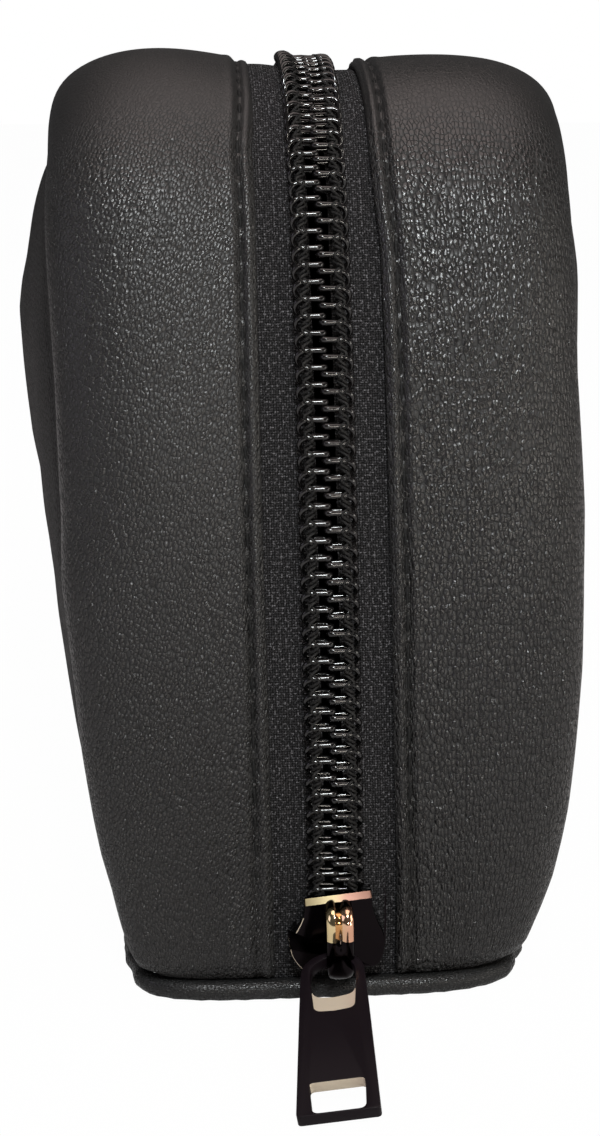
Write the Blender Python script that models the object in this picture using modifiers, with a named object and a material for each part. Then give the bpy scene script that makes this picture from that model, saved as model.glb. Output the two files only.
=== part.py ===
"""A soft toiletry bag that stands on its base, with one zip that runs up its near
end, over the top and down the far end.

X is the width, Y the length and Z is up. The near end, with the closed slider,
faces -Y. The origin is the middle of the base, on the surface the bag stands on.
"""

import math

import bmesh
import bpy
import numpy as np

MM = 0.001
MERGE_DISTANCE = 0.001 * MM
SHARP_ANGLE = math.radians(40)
ROUND_SEGMENTS = 16
OBJECT_NAME = "toiletry_bag"

# The path of the zip in the YZ plane: an end arc, a shoulder arc and a soft top
HALF_LENGTH = 120.0 * MM
END_RADIUS = 225.0 * MM
SHOULDER_RADIUS = 34.3 * MM
FOOT_TILT = math.radians(-3.9)
SHOULDER_TILT = math.radians(21.9)
TOP_SAG = 1.0 * MM
FAR_DROP = 4.0 * MM
END_STEPS = 12
SHOULDER_STEPS = 7
TOP_STEPS = 4

# The leather of the end and top, from the zip out to the corner seam
ZIP_GAP_HALF = 8.3 * MM
FOOT_HALF_WIDTH = 26.6 * MM
TOP_HALF_WIDTH = 37.0 * MM
FOOT_CORNER_DEPTH = 7.5 * MM
TOP_CORNER_DEPTH = 12.5 * MM
CORNER_POWER = 3.4
WIDTH_RISE_POWER = 0.4
DEPTH_RISE_POWER = 0.8
CROWN = 1.0 * MM
GUSSET_COLUMNS = 9

# The side panels and the base
SIDE_HALF_WIDTH = 45.5 * MM
BASE_HALF_WIDTH = 29.5 * MM
BULGE_POWER = 0.75
BULGE_CENTRE_HEIGHT_SHARE = 0.6
LOW_BULGE_POWER = 1.4
PANEL_RING_SHARES = (1.0, 0.97, 0.9, 0.78, 0.6, 0.35)
BASE_EDGE_STEPS = 12
FRONT_EDGE_STEPS = 4

# Sheet thicknesses and the room between one layer and the next
LEATHER = 1.2 * MM
TAPE = 0.6 * MM
LINING = 0.6 * MM
FOAM = 2.0 * MM
BOARD = 2.0 * MM
CLEARANCE = 0.3 * MM
SEAM_GAP = 0.5 * MM

# The piping round the base, and the bindings inside the corner seams
PIPING_RADIUS = 1.4 * MM
PIPING_SETBACK = 1.0 * MM
FLOOR_GAP = 0.1 * MM
BINDING_RADIUS = 1.1 * MM

# The zip: two coils on two woven tapes, below the leather's turned edges
COIL_HALF_WIDTH = 3.95 * MM
COIL_HEIGHT = 1.9 * MM
COIL_CENTRE_GAP = 0.3 * MM
LEATHER_SINK = 0.7 * MM
TAPE_CENTRE_HALF = 1.3 * MM
TAPE_UNDERLAP = 4.5 * MM
COIL_CROWN_SHARE = 0.35

# The lining and the padding
LINING_START = 1.5 * MM
SEAM_ALLOWANCE = 7.0 * MM
LINING_EDGE_SHARE = 0.8
LINING_COLUMNS = 5
LAYER_RING_SHARES = (1.0, 0.9, 0.7, 0.4)
POCKET_RING = 2
POCKET_MIDDLE_SHARE = 0.06

# The slider, in its own frame: X across, Z along the path, -Y out of the bag
SLIDER_HEIGHT_ON_PATH = 7.6 * MM
SLIDER_LENGTH = 10.8 * MM
SLIDER_REAR_HALF = 4.7 * MM
SLIDER_SHOULDER_HALF = 6.8 * MM
SLIDER_FRONT_HALF = 5.4 * MM
SLIDER_PLATE = 1.2 * MM
SLIDER_BEVEL = 0.35 * MM
SLIDER_SHOULDER_SHARES = (0.22, -0.18, -0.34)
POST_RADIUS = 1.0 * MM
POST_SETBACK = 2.6 * MM
CUT_OVERRUN = 2.0 * MM

# The bail over the slider and the puller through it
BAIL_HALF_WIDTH = 1.85 * MM
BAIL_THICKNESS = 0.9 * MM
BAIL_RISE = 3.8 * MM
BAIL_FRONT_REACH = 2.0 * MM
BAIL_REAR_REACH = 7.0 * MM
BAIL_ARC_STEPS = 12
BAIL_SQUARENESS = 0.55
SPRING_THICKNESS = 0.3 * MM
SPRING_HALF_WIDTH = 1.0 * MM
SPRING_SKIP = 3
PIVOT_DROP = 2.8 * MM
PULLER_THICKNESS = 1.6 * MM
PULLER_LENGTH = 28.4 * MM
PULLER_EYE_HALF_WIDTH = 4.15 * MM
PULLER_EYE_TOP_SHARE = 0.62
PULLER_WAIST_HALF_WIDTH = 4.3 * MM
PULLER_TIP_HALF_WIDTH = 5.0 * MM
PULLER_EYE_LENGTH = 11.6 * MM
PULLER_WINDOW_HALF_WIDTH = 3.0 * MM
PULLER_WINDOW_LENGTH = 9.6 * MM
PULLER_SLOT_HALF_WIDTH = 3.5 * MM
PULLER_SLOT_LENGTH = 4.0 * MM
PULLER_SLOT_MARGIN = 1.0 * MM
PULLER_BEVEL = 0.3 * MM
PULLER_TIP_HEIGHT = 1.2 * MM
PULLER_SKEW = math.radians(-3.0)

# Where the layers fall, counted inwards from the line over the top of the coil
FOOT_HEIGHT = FLOOR_GAP + 2 * PIPING_RADIUS + CLEARANCE
TAPE_LEVEL = COIL_HEIGHT + CLEARANCE
UNDER_TAPE_LEVEL = TAPE_LEVEL + TAPE
GUSSET_LINING_DEPTH = UNDER_TAPE_LEVEL - LEATHER_SINK + CLEARANCE + CROWN / 2
FOAM_DEPTH = LEATHER + CLEARANCE
SIDE_LINING_DEPTH = FOAM_DEPTH + FOAM + CLEARANCE
POCKET_DEPTH = SIDE_LINING_DEPTH + LINING + CLEARANCE
BASE_BOARD_BOTTOM = LEATHER + CLEARANCE
BASE_LINING_BOTTOM = BASE_BOARD_BOTTOM + BOARD + CLEARANCE


def clear_scene():
    """Start from an empty file."""
    for item in list(bpy.data.objects):
        bpy.data.objects.remove(item, do_unlink=True)


def new_collection(name):
    """A collection linked to the scene."""
    group = bpy.data.collections.new(name)
    bpy.context.scene.collection.children.link(group)
    return group


def new_material(name, colour, roughness, metallic=0.0):
    """A plain Principled material."""
    material = bpy.data.materials.new(name)
    material.use_nodes = True
    shader = material.node_tree.nodes["Principled BSDF"]
    shader.inputs["Base Color"].default_value = (*colour, 1.0)
    shader.inputs["Roughness"].default_value = roughness
    shader.inputs["Metallic"].default_value = metallic
    return material


# The zip path and the surfaces that follow it


def arc_points(start_y, start_z, start_tilt, end_tilt, radius, steps):
    """Points (y, z, tilt) of an arc that starts square to its own radius."""
    points = []
    for step in range(steps + 1):
        tilt = start_tilt + (end_tilt - start_tilt) * step / steps
        y = start_y + radius * (math.cos(start_tilt) - math.cos(tilt))
        z = start_z + radius * (math.sin(tilt) - math.sin(start_tilt))
        points.append((y, z, tilt))
    return points


def top_points(start_y, start_z, start_tilt, fall):
    """Points (y, z, tilt) from a crest to the middle of the top, which lies lower."""
    points = []
    for step in range(1, TOP_STEPS + 1):
        turn = math.pi * step / TOP_STEPS
        drop = fall * (1 - math.cos(turn)) / 2
        slope = fall * math.pi * math.sin(turn) / (2 * abs(start_y))
        y = start_y - start_y * step / TOP_STEPS
        points.append((y, start_z - drop, start_tilt + math.atan(slope)))
    return points


def zip_path():
    """Stations (y, z, tilt) over the coil's top, from the near foot to the far one."""
    end = arc_points(
        -HALF_LENGTH, FOOT_HEIGHT, FOOT_TILT, SHOULDER_TILT, END_RADIUS, END_STEPS
    )
    shoulder = arc_points(*end[-1], math.pi / 2, SHOULDER_RADIUS, SHOULDER_STEPS)
    rising = end + shoulder[1:]
    crest = rising[-1]
    near = rising + top_points(*crest, TOP_SAG + FAR_DROP)
    drop_share = FAR_DROP / (crest[1] - FOOT_HEIGHT)
    mirrored = rising + top_points(*crest, TOP_SAG)[:-1]
    far = [
        (-y, z - (z - FOOT_HEIGHT) * drop_share, math.pi - tilt)
        for y, z, tilt in reversed(mirrored)
    ]
    return np.array(near + far)


PATH = zip_path()
TOP_HEIGHT = float(PATH[:, 1].max())
OUTWARD = np.stack(
    [np.zeros(len(PATH)), -np.cos(PATH[:, 2]), np.sin(PATH[:, 2])], axis=1
)


def rise_share():
    """How far up the bag each station is, from 0 at the foot to 1 at the top."""
    return (PATH[:, 1] - FOOT_HEIGHT) / (TOP_HEIGHT - FOOT_HEIGHT)


def at_level(x, level):
    """One row of points along the path at an x and a depth below the coil's top."""
    rows = np.zeros((len(PATH), 3))
    rows[:, 0] = x
    rows[:, 1] = PATH[:, 0] - OUTWARD[:, 1] * level
    rows[:, 2] = PATH[:, 1] - OUTWARD[:, 2] * level
    return rows


def gusset_grid(side, end=1.0, column_count=GUSSET_COLUMNS):
    """The leather's outer face on one side, as stations by columns of points."""
    rise = rise_share()
    width = FOOT_HALF_WIDTH + (TOP_HALF_WIDTH - FOOT_HALF_WIDTH) * rise**WIDTH_RISE_POWER
    depth = FOOT_CORNER_DEPTH + (
        TOP_CORNER_DEPTH - FOOT_CORNER_DEPTH
    ) * rise**DEPTH_RISE_POWER
    columns = []
    for column in range(column_count + 1):
        turn = end * column / column_count * math.pi / 2
        across = math.sin(turn) ** (2 / CORNER_POWER)
        down = 1 - max(math.cos(turn), 0.0) ** (2 / CORNER_POWER)
        puff = CROWN * rise**DEPTH_RISE_POWER * math.sin(math.pi * across)
        x = ZIP_GAP_HALF + (width - ZIP_GAP_HALF) * across
        columns.append(at_level(side * x, LEATHER_SINK + depth * down - puff))
    grid = np.stack(columns, axis=1)
    grid[0, :, 2] = FOOT_HEIGHT
    grid[-1, :, 2] = FOOT_HEIGHT
    return grid


def normals_of(grid, closed, outward_x):
    """Unit normals of a grid of points, turned to the side of the given x."""
    if closed:
        along = np.roll(grid, -1, axis=0) - np.roll(grid, 1, axis=0)
    else:
        along = np.gradient(grid, axis=0)
    across = np.gradient(grid, axis=1)
    normals = np.cross(along, across)
    normals /= np.linalg.norm(normals, axis=2, keepdims=True)
    if normals[:, -1, 0].mean() * outward_x < 0:
        normals = -normals
    return normals


def seam_line(side):
    """The corner seam, where the gusset's outer face ends."""
    return gusset_grid(side)[:, -1, :]


def bulge(share):
    """How much of its full swell a face has at a share of the way out to its edge."""
    return np.maximum(1 - share**2, 0.0) ** BULGE_POWER


def base_edge(side):
    """The lower edge of a side panel, from the far seam to the near one."""
    seam = seam_line(side)
    reach = seam[-1, 1]
    points = []
    for step in range(1, BASE_EDGE_STEPS):
        y = reach - 2 * reach * step / BASE_EDGE_STEPS
        swell = (BASE_HALF_WIDTH - FOOT_HALF_WIDTH) * bulge(abs(y) / reach)
        points.append((side * (FOOT_HALF_WIDTH + swell), y, FOOT_HEIGHT))
    return np.array(points)


def panel_rings(side, shares, edge_gap):
    """A side panel's outer face as rings of points that shrink towards its middle."""
    edge = np.concatenate([seam_line(side), base_edge(side)])
    centre = np.array([0.0, TOP_HEIGHT * BULGE_CENTRE_HEIGHT_SHARE])
    spokes = edge[:, 1:] - centre
    reach = np.linalg.norm(spokes, axis=1, keepdims=True)
    inner = spokes * (reach - edge_gap) / reach
    rings = []
    for share in shares:
        ring = np.zeros_like(edge)
        ring[:, 1:] = centre + inner * share
        full_share = share * (reach[:, 0] - edge_gap) / reach[:, 0]
        fullness = np.minimum(ring[:, 2] / centre[1], 1.0) ** LOW_BULGE_POWER
        swell = (SIDE_HALF_WIDTH - np.abs(edge[:, 0])) * bulge(full_share) * fullness
        ring[:, 0] = side * (np.abs(edge[:, 0]) + swell)
        rings.append(ring)
    middle = np.array([side * SIDE_HALF_WIDTH, centre[0], centre[1]])
    return np.stack(rings, axis=1), middle


def base_outline(setback):
    """The base's plan outline as (x, y) points, drawn in by a setback."""
    near = gusset_grid(1)[0, :, :2]
    front = [
        (near[0, 0] * step / FRONT_EDGE_STEPS, near[0, 1])
        for step in range(FRONT_EDGE_STEPS)
    ]
    flank = base_edge(1)[::-1, :2]
    near_half = np.concatenate([front, near, flank])
    right = np.concatenate([near_half, near[::-1] * [1, -1], np.array(front[:0:-1]) * [1, -1]])
    far_middle = np.array([[0.0, -near[0, 1]]])
    left = right[:0:-1] * [-1, 1]
    loop = np.concatenate([right, far_middle, left])
    ahead = np.roll(loop, -1, axis=0) - loop
    behind = loop - np.roll(loop, 1, axis=0)
    ahead /= np.linalg.norm(ahead, axis=1, keepdims=True)
    behind /= np.linalg.norm(behind, axis=1, keepdims=True)
    tangent = ahead + behind
    tangent /= np.linalg.norm(tangent, axis=1, keepdims=True)
    inward = np.stack([-tangent[:, 1], tangent[:, 0]], axis=1)
    return loop + inward * setback


# Building objects


def finish(item, group, material, smooth=True):
    """Link an object, give it its material and shade it."""
    group.objects.link(item)
    item.data.materials.append(material)
    if smooth and item.type == "MESH":
        item.data.shade_smooth()
        item.data.set_sharp_from_angle(angle=SHARP_ANGLE)
    return item


def add_solidify(item, thickness):
    """Thicken an open surface inwards, away from its normals."""
    shell = item.modifiers.new("thickness", "SOLIDIFY")
    shell.thickness = thickness
    shell.offset = -1.0
    shell.use_even_offset = False


def mesh_object(name, points, faces):
    """A mesh object from points and faces."""
    mesh = bpy.data.meshes.new(name)
    mesh.from_pydata([tuple(point) for point in points], [], faces)
    mesh.update()
    return bpy.data.objects.new(name, mesh)


def strip_object(name, grid, outward_x, thickness):
    """A strip of cloth or leather from an open grid of its outer face."""
    rows, columns = grid.shape[:2]
    faces = []
    for row in range(rows - 1):
        for column in range(columns - 1):
            first = row * columns + column
            faces.append((first, first + 1, first + columns + 1, first + columns))
    if outward_x < 0:
        faces = [tuple(reversed(face)) for face in faces]
    item = mesh_object(name, grid.reshape(-1, 3), faces)
    add_solidify(item, thickness)
    return item


def panel_object(name, rings, middle, outward_x, thickness):
    """A panel from rings of points round one middle point."""
    stations, count = rings.shape[:2]
    points = np.concatenate([rings.reshape(-1, 3), [middle]])
    last = len(points) - 1
    faces = []
    for station in range(stations):
        here = station * count
        following = ((station + 1) % stations) * count
        for ring in range(count - 1):
            faces.append((here + ring, here + ring + 1, following + ring + 1, following + ring))
        faces.append((here + count - 1, last, following + count - 1))
    if outward_x < 0:
        faces = [tuple(reversed(face)) for face in faces]
    item = mesh_object(name, points, faces)
    add_solidify(item, thickness)
    return item


def tube_object(name, points, radius, closed):
    """A round cord along a list of points."""
    curve = bpy.data.curves.new(name, "CURVE")
    curve.dimensions = "3D"
    curve.bevel_depth = radius
    curve.bevel_resolution = 2
    curve.use_fill_caps = not closed
    spline = curve.splines.new("POLY")
    spline.points.add(len(points) - 1)
    for target, point in zip(spline.points, points):
        target.co = (*point, 1.0)
    spline.use_cyclic_u = closed
    return bpy.data.objects.new(name, curve)


def plate_mesh(name, outlines, thickness):
    """A flat plate, with holes, from outlines of (x, y) points; z is its thickness."""
    curve = bpy.data.curves.new(name, "CURVE")
    curve.dimensions = "2D"
    curve.fill_mode = "BOTH"
    curve.extrude = thickness / 2
    for outline in outlines:
        spline = curve.splines.new("POLY")
        spline.points.add(len(outline) - 1)
        for target, point in zip(spline.points, outline):
            target.co = (point[0], point[1], 0.0, 1.0)
        spline.use_cyclic_u = True
    drawn = bpy.data.objects.new(name, curve)
    bpy.context.scene.collection.objects.link(drawn)
    bpy.context.view_layer.update()
    evaluated = drawn.evaluated_get(bpy.context.evaluated_depsgraph_get())
    mesh = bpy.data.meshes.new_from_object(evaluated)
    bpy.data.objects.remove(drawn, do_unlink=True)
    work = bmesh.new()
    work.from_mesh(mesh)
    bmesh.ops.remove_doubles(work, verts=work.verts, dist=MERGE_DISTANCE)
    work.to_mesh(mesh)
    work.free()
    mesh.name = name
    return mesh


def box_mesh(name, size, centre):
    """A box of a size about a centre."""
    mesh = bpy.data.meshes.new(name)
    work = bmesh.new()
    bmesh.ops.create_cube(work, size=1.0)
    bmesh.ops.scale(work, vec=size, verts=work.verts)
    bmesh.ops.translate(work, vec=centre, verts=work.verts)
    work.to_mesh(mesh)
    work.free()
    return mesh


def add_boolean(item, operation, tool):
    """Cut an object with a tool, or join the tool to it."""
    step = item.modifiers.new(operation.lower(), "BOOLEAN")
    step.operation = operation
    step.solver = "EXACT"
    step.object = tool


def add_bevel(item, width):
    """Round an object's sharp edges."""
    step = item.modifiers.new("edges", "BEVEL")
    step.width = width
    step.segments = 2
    step.limit_method = "ANGLE"
    step.angle_limit = SHARP_ANGLE


def tool_object(name, mesh, group, parent):
    """A cutter or an added shape in a parent's frame, left out of the build."""
    tool = bpy.data.objects.new(name, mesh)
    group.objects.link(tool)
    tool.parent = parent
    tool.hide_render = True
    tool.display_type = "WIRE"
    return tool


# The soft parts


def make_gussets(parts, leather, cloth):
    """The leather strips beside the zip and their linings."""
    for side, word in ((-1, "left"), (1, "right")):
        grid = gusset_grid(side)
        item = strip_object(f"gusset_leather_{word}", grid, side, LEATHER)
        finish(item, parts, leather)
        inner = gusset_grid(side, LINING_EDGE_SHARE, LINING_COLUMNS)
        inner = inner - normals_of(inner, False, side) * GUSSET_LINING_DEPTH
        inner[:, :, 0] += side * LINING_START * np.linspace(1.0, 0.0, inner.shape[1])
        inner[0, :, 2] = BASE_LINING_BOTTOM
        inner[-1, :, 2] = BASE_LINING_BOTTOM
        item = strip_object(f"gusset_lining_{word}", inner, side, LINING)
        finish(item, parts, cloth)


def make_side_panels(parts, leather, foam, cloth):
    """The domed side panels with their padding and lining."""
    for side, word in ((-1, "left"), (1, "right")):
        rings, middle = panel_rings(side, PANEL_RING_SHARES, SEAM_GAP)
        item = panel_object(f"side_panel_{word}", rings, middle, side, LEATHER)
        finish(item, parts, leather)
        layers = (
            (f"side_padding_{word}", FOAM_DEPTH, FOAM, foam),
            (f"side_lining_{word}", SIDE_LINING_DEPTH, LINING, cloth),
        )
        for name, depth, thickness, material in layers:
            rings, middle = panel_rings(side, LAYER_RING_SHARES, SEAM_ALLOWANCE + depth)
            rings = rings - normals_of(rings, True, side) * depth
            middle = middle - np.array([side * depth, 0.0, 0.0])
            item = panel_object(name, rings, middle, side, thickness)
            finish(item, parts, material)


def make_pocket(parts, cloth):
    """A half-moon slip pocket on the left lining."""
    shares = (*LAYER_RING_SHARES[POCKET_RING:], POCKET_MIDDLE_SHARE)
    rings, middle = panel_rings(-1, shares, SEAM_ALLOWANCE + SIDE_LINING_DEPTH)
    rings = rings - normals_of(rings, True, -1) * POCKET_DEPTH
    lower = [station for station in range(len(rings)) if rings[station, 0, 2] < middle[2]]
    first = next(k for k in lower if k > len(PATH) / 2)
    order = [k % len(rings) for k in range(first, first + len(lower))]
    item = strip_object("inner_pocket", rings[order], -1, LINING)
    finish(item, parts, cloth)


def make_base(parts, leather, board, cloth):
    """The base: leather outside, a stiff board and the lining over it."""
    inside = PIPING_SETBACK + PIPING_RADIUS + CLEARANCE
    layers = (
        ("base_panel", 0.0, LEATHER, inside, leather),
        ("base_board", BASE_BOARD_BOTTOM, BOARD, inside, board),
        (
            "base_lining",
            BASE_LINING_BOTTOM,
            LINING,
            GUSSET_LINING_DEPTH + LINING + CLEARANCE,
            cloth,
        ),
    )
    for name, bottom, thickness, setback, material in layers:
        mesh = plate_mesh(name, [base_outline(setback)], thickness)
        item = bpy.data.objects.new(name, mesh)
        item.location.z = bottom + thickness / 2
        finish(item, parts, material, smooth=False)


def make_cords(parts, leather, cloth):
    """The piping round the base and the bindings inside the corner seams."""
    loop = base_outline(PIPING_SETBACK)
    height = FLOOR_GAP + PIPING_RADIUS
    points = [(x, y, height) for x, y in loop]
    finish(tube_object("base_piping", points, PIPING_RADIUS, True), parts, leather)
    inset = LEATHER + CLEARANCE + BINDING_RADIUS
    for side, word in ((-1, "left"), (1, "right")):
        seam = seam_line(side)
        seam[:, 0] -= side * inset
        seam[0, 2] = BASE_LINING_BOTTOM + LINING + CLEARANCE
        seam[-1, 2] = seam[0, 2]
        item = tube_object(f"seam_binding_{word}", seam, BINDING_RADIUS, False)
        finish(item, parts, cloth)


# The zip


def make_tapes(parts, cloth):
    """The two woven tapes, from the middle out to below the leather."""
    outer = ZIP_GAP_HALF + TAPE_UNDERLAP
    for side, word in ((-1, "left"), (1, "right")):
        grid = np.stack(
            [at_level(side * x, TAPE_LEVEL) for x in (TAPE_CENTRE_HALF, outer)], axis=1
        )
        grid[0, :, 2] = BASE_LINING_BOTTOM
        grid[-1, :, 2] = BASE_LINING_BOTTOM
        item = strip_object(f"zip_tape_{word}", grid, side, TAPE)
        finish(item, parts, cloth)


def path_after(distance):
    """The stations of the path past a distance, the first one just at it."""
    steps = np.hypot(np.diff(PATH[:, 0]), np.diff(PATH[:, 1]))
    run = np.concatenate([[0.0], np.cumsum(steps)])
    keep = run > distance
    tilt = FOOT_TILT + distance / END_RADIUS
    first = arc_points(-HALF_LENGTH, FOOT_HEIGHT, FOOT_TILT, tilt, END_RADIUS, 1)[-1]
    return np.concatenate([[first], PATH[keep]])


def make_coils(parts, nylon):
    """The two coils, each a rounded bar that starts inside the closed slider."""
    start = SLIDER_HEIGHT_ON_PATH - SLIDER_LENGTH / 2 + POST_SETBACK + POST_RADIUS + CLEARANCE
    stations = path_after(start)
    inner = COIL_CENTRE_GAP / 2
    slope = COIL_HEIGHT * COIL_CROWN_SHARE
    section = (
        (inner, 0.0),
        (COIL_HALF_WIDTH - slope, 0.0),
        (COIL_HALF_WIDTH, slope),
        (COIL_HALF_WIDTH, COIL_HEIGHT - slope),
        (COIL_HALF_WIDTH - slope, COIL_HEIGHT),
        (inner, COIL_HEIGHT),
    )
    for side, word in ((-1, "left"), (1, "right")):
        points = []
        for y, z, tilt in stations:
            for x, level in section:
                points.append((side * x, y + math.cos(tilt) * level, z - math.sin(tilt) * level))
        size = len(section)
        faces = [tuple(range(size)), tuple(range(len(points) - 1, len(points) - size - 1, -1))]
        for row in range(len(stations) - 1):
            for corner in range(size):
                a = row * size + corner
                b = row * size + (corner + 1) % size
                faces.append((b, a, a + size, b + size))
        if side > 0:
            faces = [tuple(reversed(face)) for face in faces]
        finish(mesh_object(f"zip_coil_{word}", points, faces), parts, nylon)


def slider_frame(group):
    """Empties for the two hinges: the slider on its arc and the puller on its pivot."""
    travel = bpy.data.objects.new("zip_travel", None)
    travel.location.y = -HALF_LENGTH + END_RADIUS * math.cos(FOOT_TILT)
    travel.location.z = FOOT_HEIGHT - END_RADIUS * math.sin(FOOT_TILT)
    tilt = FOOT_TILT + SLIDER_HEIGHT_ON_PATH / END_RADIUS
    travel.rotation_euler.x = -tilt
    group.objects.link(travel)
    seat = bpy.data.objects.new("slider_seat", None)
    seat.parent = travel
    seat.location.y = -END_RADIUS
    group.objects.link(seat)
    return seat, tilt


def slider_outline():
    """The slider's plan, narrow at the closed chain and wide at its shoulders."""
    half = SLIDER_LENGTH / 2
    rear, wide, low = (share * SLIDER_LENGTH for share in SLIDER_SHOULDER_SHARES)
    right = (
        (SLIDER_REAR_HALF, half),
        (SLIDER_REAR_HALF, rear),
        (SLIDER_SHOULDER_HALF, wide),
        (SLIDER_SHOULDER_HALF, low),
        (SLIDER_FRONT_HALF, -half),
    )
    return [*right, *((-x, z) for x, z in reversed(right))]


def make_slider(parts, tools, seat, metal):
    """The slider body: two plates round the chain, joined by the post."""
    top = CLEARANCE + SLIDER_PLATE
    bottom = UNDER_TAPE_LEVEL + CLEARANCE + SLIDER_PLATE
    mesh = plate_mesh("slider_body", [slider_outline()], top + bottom)
    turn_to_face(mesh, (bottom - top) / 2)
    body = bpy.data.objects.new("slider_body", mesh)
    body.parent = seat
    finish(body, parts, metal)
    add_bevel(body, SLIDER_BEVEL)
    length = SLIDER_LENGTH + CUT_OVERRUN
    tunnel_floor = TAPE_LEVEL + TAPE / 2
    tunnel = box_mesh(
        "tunnel",
        (2 * (COIL_HALF_WIDTH + CLEARANCE), tunnel_floor + CLEARANCE, length),
        (0, (tunnel_floor - CLEARANCE) / 2, 0),
    )
    add_boolean(body, "DIFFERENCE", tool_object("tunnel", tunnel, tools, seat))
    slot_height = TAPE + 2 * CLEARANCE
    slot = box_mesh(
        "tape_slot",
        (2 * SLIDER_SHOULDER_HALF + CUT_OVERRUN, slot_height, length),
        (0, TAPE_LEVEL - CLEARANCE + slot_height / 2, 0),
    )
    add_boolean(body, "DIFFERENCE", tool_object("tape_slot", slot, tools, seat))
    post_length = top + bottom - SLIDER_PLATE
    post = bpy.data.meshes.new("post")
    work = bmesh.new()
    bmesh.ops.create_cone(
        work,
        cap_ends=True,
        segments=ROUND_SEGMENTS,
        radius1=POST_RADIUS,
        radius2=POST_RADIUS,
        depth=post_length,
    )
    work.to_mesh(post)
    work.free()
    turn_to_face(post, (bottom - top) / 2)
    tool = tool_object("post", post, tools, seat)
    tool.location.z = -SLIDER_LENGTH / 2 + POST_SETBACK
    add_boolean(body, "UNION", tool)


def turn_to_face(mesh, depth):
    """Stand a plate drawn in XY up in XZ, at a depth along Y."""
    for vertex in mesh.vertices:
        x, y, z = vertex.co
        vertex.co = (x, depth - z, y)
    mesh.update()


def arch_points(grow, skip):
    """The bail's arch drawn in or out, as (along, out) points, with its ends skipped."""
    front = -PIVOT_DROP - BAIL_FRONT_REACH
    rear = -PIVOT_DROP + BAIL_REAR_REACH
    middle = (front + rear) / 2
    half = (rear - front) / 2 + grow
    rise = BAIL_RISE + grow
    foot = CLEARANCE + SLIDER_PLATE + CLEARANCE
    points = []
    for step in range(skip, BAIL_ARC_STEPS + 1 - skip):
        turn = math.pi * step / BAIL_ARC_STEPS
        side = 1 if turn < math.pi / 2 else -1
        along = middle - half * side * abs(math.cos(turn)) ** BAIL_SQUARENESS
        out = foot + rise * abs(math.sin(turn)) ** BAIL_SQUARENESS
        points.append((along, out))
    return points


def make_bail(parts, seat, metal):
    """The arch over the slider that holds the puller, and the lock spring below it."""
    half = BAIL_THICKNESS / 2
    under = half + CLEARANCE
    pieces = (
        ("slider_bail", half, -half, 0, BAIL_HALF_WIDTH),
        ("lock_spring", -under, -under - SPRING_THICKNESS, SPRING_SKIP, SPRING_HALF_WIDTH),
    )
    for name, outer, inner, skip, half_width in pieces:
        outline = arch_points(outer, skip) + arch_points(inner, skip)[::-1]
        mesh = plate_mesh(name, [outline], 2 * half_width)
        for vertex in mesh.vertices:
            along, out, x = vertex.co
            vertex.co = (x, -out, along)
        mesh.update()
        arch = bpy.data.objects.new(name, mesh)
        arch.parent = seat
        finish(arch, parts, metal)


def puller_outline():
    """The puller's plan from its eye at the pivot to its tip, along -Y."""
    eye = PULLER_THICKNESS / 2
    right = [
        (PULLER_EYE_HALF_WIDTH * PULLER_EYE_TOP_SHARE, eye),
        (PULLER_EYE_HALF_WIDTH, -PULLER_THICKNESS),
        (PULLER_WAIST_HALF_WIDTH, -PULLER_EYE_LENGTH),
        (PULLER_TIP_HALF_WIDTH, -PULLER_LENGTH),
    ]
    return [*right, *((-x, y) for x, y in reversed(right))]


def rectangle(half_width, top, bottom):
    """A rectangle's four corners, for a window in the puller."""
    return [(half_width, top), (half_width, bottom), (-half_width, bottom), (-half_width, top)]


def make_puller(parts, tools, seat, tilt, metal):
    """The flat puller, lying forward from its pivot down to the table."""
    pivot = bpy.data.objects.new("puller_swing", None)
    pivot.parent = seat
    out = 2 * CLEARANCE + SLIDER_PLATE + CLEARANCE + PULLER_THICKNESS / 2
    pivot.location = (0, -out, -PIVOT_DROP)
    height = (
        FOOT_HEIGHT
        - END_RADIUS * math.sin(FOOT_TILT)
        + (END_RADIUS + out) * math.sin(tilt)
        - PIVOT_DROP * math.cos(tilt)
    )
    droop = math.asin((height - PULLER_TIP_HEIGHT) / PULLER_LENGTH)
    pivot.rotation_euler.x = tilt + droop
    tools.objects.link(pivot)
    window_top = -PULLER_THICKNESS / 2
    slot_bottom = -PULLER_LENGTH + PULLER_SLOT_MARGIN
    holes = [
        rectangle(PULLER_WINDOW_HALF_WIDTH, window_top, window_top - PULLER_WINDOW_LENGTH),
        rectangle(PULLER_SLOT_HALF_WIDTH, slot_bottom + PULLER_SLOT_LENGTH, slot_bottom),
    ]
    mesh = plate_mesh("puller", [puller_outline(), *holes], PULLER_THICKNESS)
    puller = bpy.data.objects.new("puller", mesh)
    puller.parent = pivot
    puller.rotation_euler.z = PULLER_SKEW
    finish(puller, parts, metal)
    add_bevel(puller, PULLER_BEVEL)


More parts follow.
